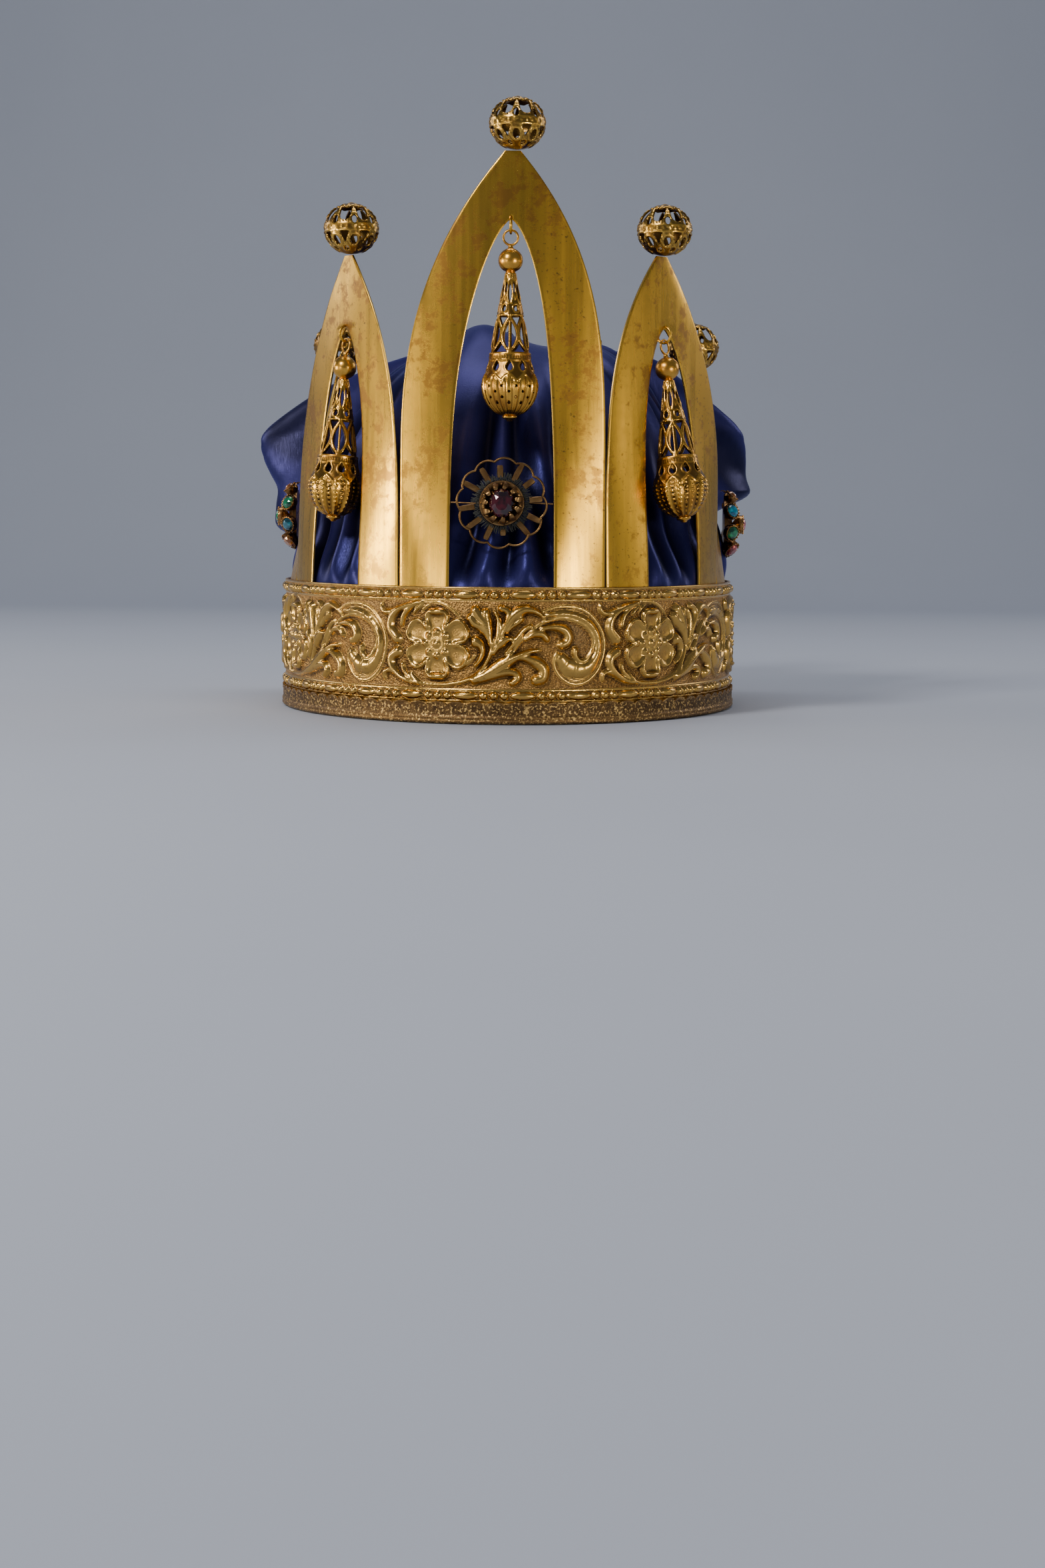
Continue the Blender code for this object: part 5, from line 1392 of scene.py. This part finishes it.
# The cap: royal blue satin, cut full, gathered to the band inside the metal and puffed up between
# the arches. It swells out through the open gaps behind the side arches, and falls in soft folds.
CAP_HEIGHT = 0.0905
CAP_SKIRT = 0.0300
CAP_ROUNDNESS = 2.35
CAP_SEAT = 0.0028
CAP_INSET = 0.0062
CAP_LEAN = math.tan(math.radians(4.0))
CAP_FOLD = 0.0024
CAP_FOLD_COUNT = 14
CAP_PUFF_REACH = 0.1004
PUFF_FROM = 0.0160
PUFF_SPREAD = 0.0700
SATIN_THICKNESS = 0.0008
CAP_COLUMNS = 404
CAP_ROWS = 120
CAP_SKIRT_ROWS = 14
GAP_RIGHT = 0.5 * (SIDE_PLACES["right"] + REAR_PLACE)
GAP_LEFT = 0.5 * (SIDE_PLACES["left"] - REAR_PLACE)
GAP_HALF = 0.5 * (REAR_PLACE + SIDE_PLACES["left"] - ARCH_WIDTH)
PUFFS = (
    # height (share of the cap's height), reach of the right puff and of the left puff (shares)
    (0.10, 0.60, 0.60), (0.18, 0.68, 0.908), (0.27, 0.81, 0.955), (0.34, 0.985, 0.945),
    (0.37, 1.0, 0.939), (0.43, 0.962, 0.957), (0.56, 0.915, 0.973), (0.62, 0.892, 0.960),
    (0.72, 0.790, 0.865), (0.81, 0.665, 0.715), (0.90, 0.530, 0.500), (0.96, 0.270, 0.270),
    (1.00, 0.0, 0.0),
)
DENTS = (
    # place, half width, middle height and half height (shares of the cap's height), depth
    (FRONT_PLACE, 0.022, 0.62, 0.34, 0.0065),
    (SIDE_PLACES["right"], 0.038, 0.56, 0.36, 0.0040),
    (SIDE_PLACES["left"], 0.038, 0.56, 0.36, 0.0055),
    (SIDE_PLACES["right"], 0.020, 0.20, 0.22, -0.0040),
    (SIDE_PLACES["left"], 0.020, 0.23, 0.22, -0.0045),
)
FOLDS = (
    # place at the band, place at the top, half width, depth, height share where it is deepest
    (-0.0160, -0.0050, 0.0066, 0.0036, 0.50), (-0.0015, 0.0085, 0.0060, 0.0042, 0.62),
    (0.0150, 0.0020, 0.0064, 0.0034, 0.30), (0.0215, 0.0280, 0.0052, 0.0026, 0.45),
    (0.0530, 0.0430, 0.0074, 0.0040, 0.40), (0.0680, 0.0740, 0.0060, 0.0036, 0.50),
    (0.0810, 0.0770, 0.0064, 0.0034, 0.30), (0.0930, 0.1040, 0.0062, 0.0030, 0.50),
    (-0.0530, -0.0460, 0.0072, 0.0038, 0.40), (-0.0680, -0.0780, 0.0060, 0.0038, 0.52),
    (-0.0820, -0.0790, 0.0062, 0.0032, 0.30), (-0.0930, -0.1040, 0.0064, 0.0030, 0.50),
    (0.1270, 0.1160, 0.0080, 0.0034, 0.62), (-0.1270, -0.1140, 0.0080, 0.0034, 0.62),
    (0.1500, 0.1580, 0.0080, 0.0030, 0.62), (-0.1500, -0.1590, 0.0080, 0.0030, 0.60),
    (0.1720, 0.1660, 0.0080, 0.0030, 0.55), (-0.1720, -0.1650, 0.0080, 0.0030, 0.55),
    (0.2300, 0.2200, 0.0076, 0.0034, 0.45), (-0.2300, -0.2220, 0.0076, 0.0034, 0.45),
    (0.2560, 0.2660, 0.0064, 0.0032, 0.40), (-0.2560, -0.2620, 0.0064, 0.0032, 0.40),
    (0.2780, 0.2700, 0.0060, 0.0030, 0.50),
)
HUMPS = (
    # where across and back, half width across and back, how tall: the swells of the satin's top
    (-0.0100, -0.0200, 0.0090, 0.0160, 0.0030), (0.0130, -0.0100, 0.0150, 0.0400, -0.0055),
    (-0.0300, 0.0000, 0.0130, 0.0500, -0.0030), (0.0370, 0.0000, 0.0130, 0.0500, 0.0030),
    (-0.0560, 0.0000, 0.0120, 0.0700, -0.0025), (0.0560, 0.0000, 0.0110, 0.0700, 0.0015),
    (0.0000, 0.0450, 0.0160, 0.0240, 0.0010), (-0.0220, 0.0550, 0.0120, 0.0180, -0.0025),
    (0.0000, -0.0480, 0.0110, 0.0160, -0.0030),
)
GATHERS = 41
GATHER_DEPTH = 0.00010
FOLD_NARROWED = 0.75
FOLD_BANK = 0.35
FOLD_BANK_AWAY = 1.4
CREASE_DEPTH = 0.0040
CREASE_WAVE = 0.0080


def hill(x, half):
    """A round hill: 1 where x is 0, and nothing from half on."""
    return np.where(np.abs(x) < half, np.cos(0.5 * math.pi * np.clip(x / half, -1.0, 1.0)) ** 2, 0.0)


def cap_folds(s, h, rise, depth):
    """The satin's depth inside the band with its dents and folds, and the painted shade of its fold valleys.
    """
    around = wrap(s, GIRTH)
    for place, half, middle, reach_up, dent in DENTS:
        across = dent * hill(around - place, half)
        depth = depth + across * hill(h - middle * CAP_HEIGHT, reach_up * CAP_HEIGHT)
    valley = 0.0 * around
    for low_place, high_place, half, deep, middle in FOLDS:
        line = low_place + (high_place - low_place) * rise + 0.0012 * np.sin(7.0 * rise + 40.0 * low_place)
        fade = smoothstep((h + 0.004) / 0.012) * (1.0 - smoothstep((rise - middle) / 0.55))
        away = wrap(around - line, GIRTH)
        valley = np.maximum(valley, fade * bump(away, FOLD_NARROWED * half))
        shape = hill(away, half)
        for aside in (-FOLD_BANK_AWAY * half, FOLD_BANK_AWAY * half):
            shape = shape - FOLD_BANK * hill(away + aside, half)
        depth = depth + fade * deep * shape
    return depth, valley


def cap_puffs(point, valley, s, h, rise):
    """The satin swollen out sideways through the gaps behind the side arches, with crushed creases."""
    around = wrap(s, GIRTH)
    ahead = (round_band(s + 1e-4) - round_band(s - 1e-4)) / 2e-4
    for column, place in ((1, GAP_RIGHT), (2, GAP_LEFT)):
        off = around - place
        near = np.abs(off) < GAP_HALF
        fine = smooth_path([(row[0], row[column]) for row in PUFFS], 0.02)
        reach = CAP_PUFF_REACH * np.interp(rise, fine[:, 0], fine[:, 1])
        share = hill(off, GAP_HALF) ** 0.6 * smoothstep(h / PUFF_FROM)
        push = np.where(near, np.maximum(0.0, reach - np.abs(point[..., 0])) * share, 0.0)
        crease = CREASE_DEPTH * push / 0.02 * np.sin(off / CREASE_WAVE + 5.5 * rise) * np.sin(math.pi * rise)
        point = point + ahead * (off * push / PUFF_SPREAD)[..., None]
        shift = np.stack([np.copysign(push - np.abs(crease), place), 0.2 * push, 0.0 * push], -1)
        point = point + np.where(near[..., None], shift, 0.0)
        # Painted shade: the deeper a crease in a puff, the darker its colour.
        crease_shade = 0.8 * np.clip(np.abs(crease) / 0.0038, 0.0, 1.0) ** 2
        valley = np.maximum(valley, np.where(near, crease_shade, 0.0))
    return point, valley


def cap_surface(s, h):
    """The satin's outer side at places round the crown and heights above the band, and the painted shade of
    its valleys.
    """
    rise = np.clip(h / CAP_HEIGHT, 0.0, 1.0)
    shrink = (1.0 - rise ** CAP_ROUNDNESS) ** (1.0 / CAP_ROUNDNESS)
    fold = 0.5 - 0.5 * np.sin(2.0 * math.pi * CAP_FOLD_COUNT * s / GIRTH + 0.8)
    inset = CAP_INSET - CAP_SEAT + CAP_FOLD * fold
    depth = CAP_SEAT + inset * smoothstep(h / 0.02) + CAP_LEAN * np.maximum(0.0, h)
    depth, valley = cap_folds(s, h, rise, depth)
    gathers = np.sin(2 * math.pi * GATHERS * s / GIRTH + 2.0 * np.sin(s / 0.021))
    gathers = gathers * (1.0 - smoothstep(h / 0.010))
    depth = depth + GATHER_DEPTH * (1.0 + gathers) * smoothstep((h + 0.012) / 0.014)
    point = round_band(s, -depth, BAND_TOP + h) * np.stack([shrink, shrink, np.ones_like(shrink)], -1)
    for x, y, wide, long, tall in HUMPS:
        spread = np.exp(-((point[..., 0] - x) / wide) ** 2 - ((point[..., 1] - y) / long) ** 2)
        point[..., 2] += tall * spread * smoothstep((rise - 0.45) / 0.4)
    return cap_puffs(point, valley, s, h, rise)


def blue_satin():
    """Satin weave: long floats that shine along one way, and soft bloom with a painted sheen at grazing
    angles.
    """
    satin = Finish("royal_blue_satin", Metallic=0.40, Roughness=0.36, Anisotropic=0.35,
                   Sheen_Weight=0.03, Sheen_Roughness=0.38, Sheen_Tint=(0.25, 0.30, 1.0),
                   Specular_IOR_Level=0.42, Specular_Tint=(0.32, 0.34, 1.0))
    cloud = satin.noise(32.0, 3.0)
    colour = satin.blended(satin.between(cloud, 0.35, 0.65), (0.026, 0.025, 0.120), (0.011, 0.011, 0.060))
    # Painted sheen: the colour turns a lighter blue where the satin is seen at a grazing angle.
    facing = satin.node('ShaderNodeLayerWeight', {"Blend": 0.42}).outputs["Facing"]
    colour = satin.blended(satin.joined('MULTIPLY', facing, 0.55), colour, (0.034, 0.034, 0.190))
    # Painted shade: fold valleys and crushed creases go nearly black.
    colour = satin.blended(satin.between(satin.painted("valley"), 0.15, 0.9), colour, (0.0012, 0.0012, 0.009))
    threads = satin.noise(2600.0, 2.0, (1.0, 1.0, 0.12))
    picks = satin.noise(1500.0, 2.0, (0.15, 0.15, 1.0))
    rough = satin.between(threads, 0.3, 0.7, 0.28, 0.42)
    normal = satin.raised(threads, 0.00012, 0.30)
    normal = satin.raised(picks, 0.00010, 0.16, normal)
    normal = satin.raised(satin.noise(75.0, 4.0), 0.0012, 0.16, normal)
    return satin.skin(colour, rough, normal)


def make_cap():
    s = np.arange(CAP_COLUMNS) / CAP_COLUMNS * GIRTH
    low = np.linspace(-CAP_SKIRT, 0.0, CAP_SKIRT_ROWS)[:-1]
    polar = np.linspace(0.0, 0.5 * math.pi, CAP_ROWS - len(low))[:-1]
    h = np.concatenate([low, CAP_HEIGHT * np.sin(polar) ** 1.05])
    points, valley = cap_surface(*np.meshgrid(s, h))
    for _ in range(2):
        soft = 0.25 * np.roll(points, 1, 1) + 0.5 * points + 0.25 * np.roll(points, -1, 1)
        soft[1:-1] = 0.25 * soft[:-2] + 0.5 * soft[1:-1] + 0.25 * soft[2:]
        points = soft
    crest = np.array([[0.0, 0.0, BAND_TOP + CAP_HEIGHT]])
    outer = np.concatenate([points.reshape(-1, 3), crest])
    faces = [tuple(face) for face in grid_faces(len(h), CAP_COLUMNS).tolist()]
    last = (len(h) - 1) * CAP_COLUMNS
    faces += [(last + k, last + (k + 1) % CAP_COLUMNS, len(outer) - 1) for k in range(CAP_COLUMNS)]
    cap = piece("cap_of_satin", outer, faces, blue_satin(), "crown", ("satin_cap",), 180.0)
    paint(cap, "valley", np.append(valley.ravel(), 0.0))
    thick = cap.modifiers.new("cloth_thickness", 'SOLIDIFY')
    thick.thickness = SATIN_THICKNESS
    thick.offset = -1.0


make_cap()

# The studio: a pale floor that curves up behind, soft light from both sides of the front and a
# dim fill, with the camera low and straight on, as the crown was seen.
FLOOR_LEVEL = -0.0002
FLOOR_HALF_WIDTH = 3.0
FLOOR_FRONT = -1.6
FLOOR_BEND = 0.9
BEND_RADIUS = 0.6
WALL_TOP = 3.0
LIGHT_TARGET = Vector((0.0, -0.03, 0.10))
AMBER_LIGHT = (1.0, 0.91, 0.68)
WARM_LIGHT = (1.0, 0.95, 0.88)
LIGHTS = (
    # name, place, width and height, watts, colour
    ("key_left", (-1.08, -0.26, 0.10), (0.34, 0.15), 4.4, AMBER_LIGHT),
    ("low_left", (-0.70, -0.86, 0.075), (0.26, 0.12), 1.0, AMBER_LIGHT),
    ("key_right", (0.70, -0.88, 0.062), (0.24, 0.09), 3.0, AMBER_LIGHT),
    ("far_right", (1.08, -0.16, 0.12), (0.26, 0.16), 0.25, AMBER_LIGHT),
    ("high_left", (-0.60, -0.86, 0.80), (0.26, 0.26), 8.0, WARM_LIGHT),
    ("top_fill", (0.05, 0.25, 1.10), (0.70, 0.70), 4.0, WARM_LIGHT),
    ("back_right", (1.0, 0.50, 0.45), (0.40, 0.40), 1.6, WARM_LIGHT),
    ("back_left", (-1.0, 0.50, 0.45), (0.40, 0.40), 2.0, WARM_LIGHT),
)
AIR_COLOUR = (0.50, 0.54, 0.64, 1.0)
AIR_STRENGTH = 0.27
CAMERA_PLACE = (0.0057, -0.9422, 0.0707)
CAMERA_DROP = math.radians(6.137)
CAMERA_ROLL = math.radians(0.395)
FOCAL_OF_FRAME = 1.6284
SENSOR_HEIGHT = 24.0


def make_floor():
    """A sheet of pale paper that lies flat and curves up behind."""
    paper = Finish("pale_paper", Roughness=0.85)
    paper.skin(paper.blended(paper.noise(6.0, 2.0), (0.49, 0.54, 0.66), (0.46, 0.51, 0.63)), None,
               paper.raised(paper.noise(900.0, 2.0), 0.0002, 0.08))
    bend = np.linspace(0.1, 1.57, 14)
    depths = [FLOOR_FRONT, FLOOR_BEND, *(FLOOR_BEND + BEND_RADIUS * np.sin(bend)), FLOOR_BEND + BEND_RADIUS]
    heights = [FLOOR_LEVEL, FLOOR_LEVEL, *(FLOOR_LEVEL + BEND_RADIUS * (1.0 - np.cos(bend))), WALL_TOP]
    count = len(depths)
    points = [(x, y, z) for x in (-FLOOR_HALF_WIDTH, FLOOR_HALF_WIDTH) for y, z in zip(depths, heights)]
    mesh = bpy.data.meshes.new("studio_sweep")
    mesh.from_pydata(points, [], [(k, count + k, count + k + 1, k + 1) for k in range(count - 1)])
    mesh.materials.append(paper.material)
    mesh.shade_smooth()
    floor = bpy.data.objects.new("studio_sweep", mesh)
    bpy.context.scene.collection.objects.link(floor)


def make_lights():
    for name, spot, size, watts, colour in LIGHTS:
        lamp = bpy.data.lights.new(name, 'AREA')
        lamp.energy = watts
        lamp.shape = 'RECTANGLE'
        lamp.size, lamp.size_y = size
        lamp.color = colour
        shown = bpy.data.objects.new(name, lamp)
        shown.location = spot
        shown.rotation_euler = (LIGHT_TARGET - Vector(spot)).to_track_quat('-Z', 'Y').to_euler()
        bpy.context.scene.collection.objects.link(shown)
    world = bpy.data.worlds.new("studio_air")
    world.use_nodes = True
    air = world.node_tree.nodes["Background"].inputs
    air["Color"].default_value = AIR_COLOUR
    air["Strength"].default_value = AIR_STRENGTH
    bpy.context.scene.world = world


def make_camera():
    lens = bpy.data.cameras.new("view_camera")
    lens.sensor_fit = 'VERTICAL'
    lens.sensor_height = SENSOR_HEIGHT
    lens.lens = SENSOR_HEIGHT * FOCAL_OF_FRAME
    lens.clip_start = 0.01
    camera = bpy.data.objects.new("view_camera", lens)
    aimed = Matrix.Rotation(0.5 * math.pi - CAMERA_DROP, 4, 'X') @ Matrix.Rotation(CAMERA_ROLL, 4, 'Z')
    camera.matrix_world = Matrix.Translation(CAMERA_PLACE) @ aimed
    bpy.context.scene.collection.objects.link(camera)
    bpy.context.scene.camera = camera


make_floor()
make_lights()
make_camera()
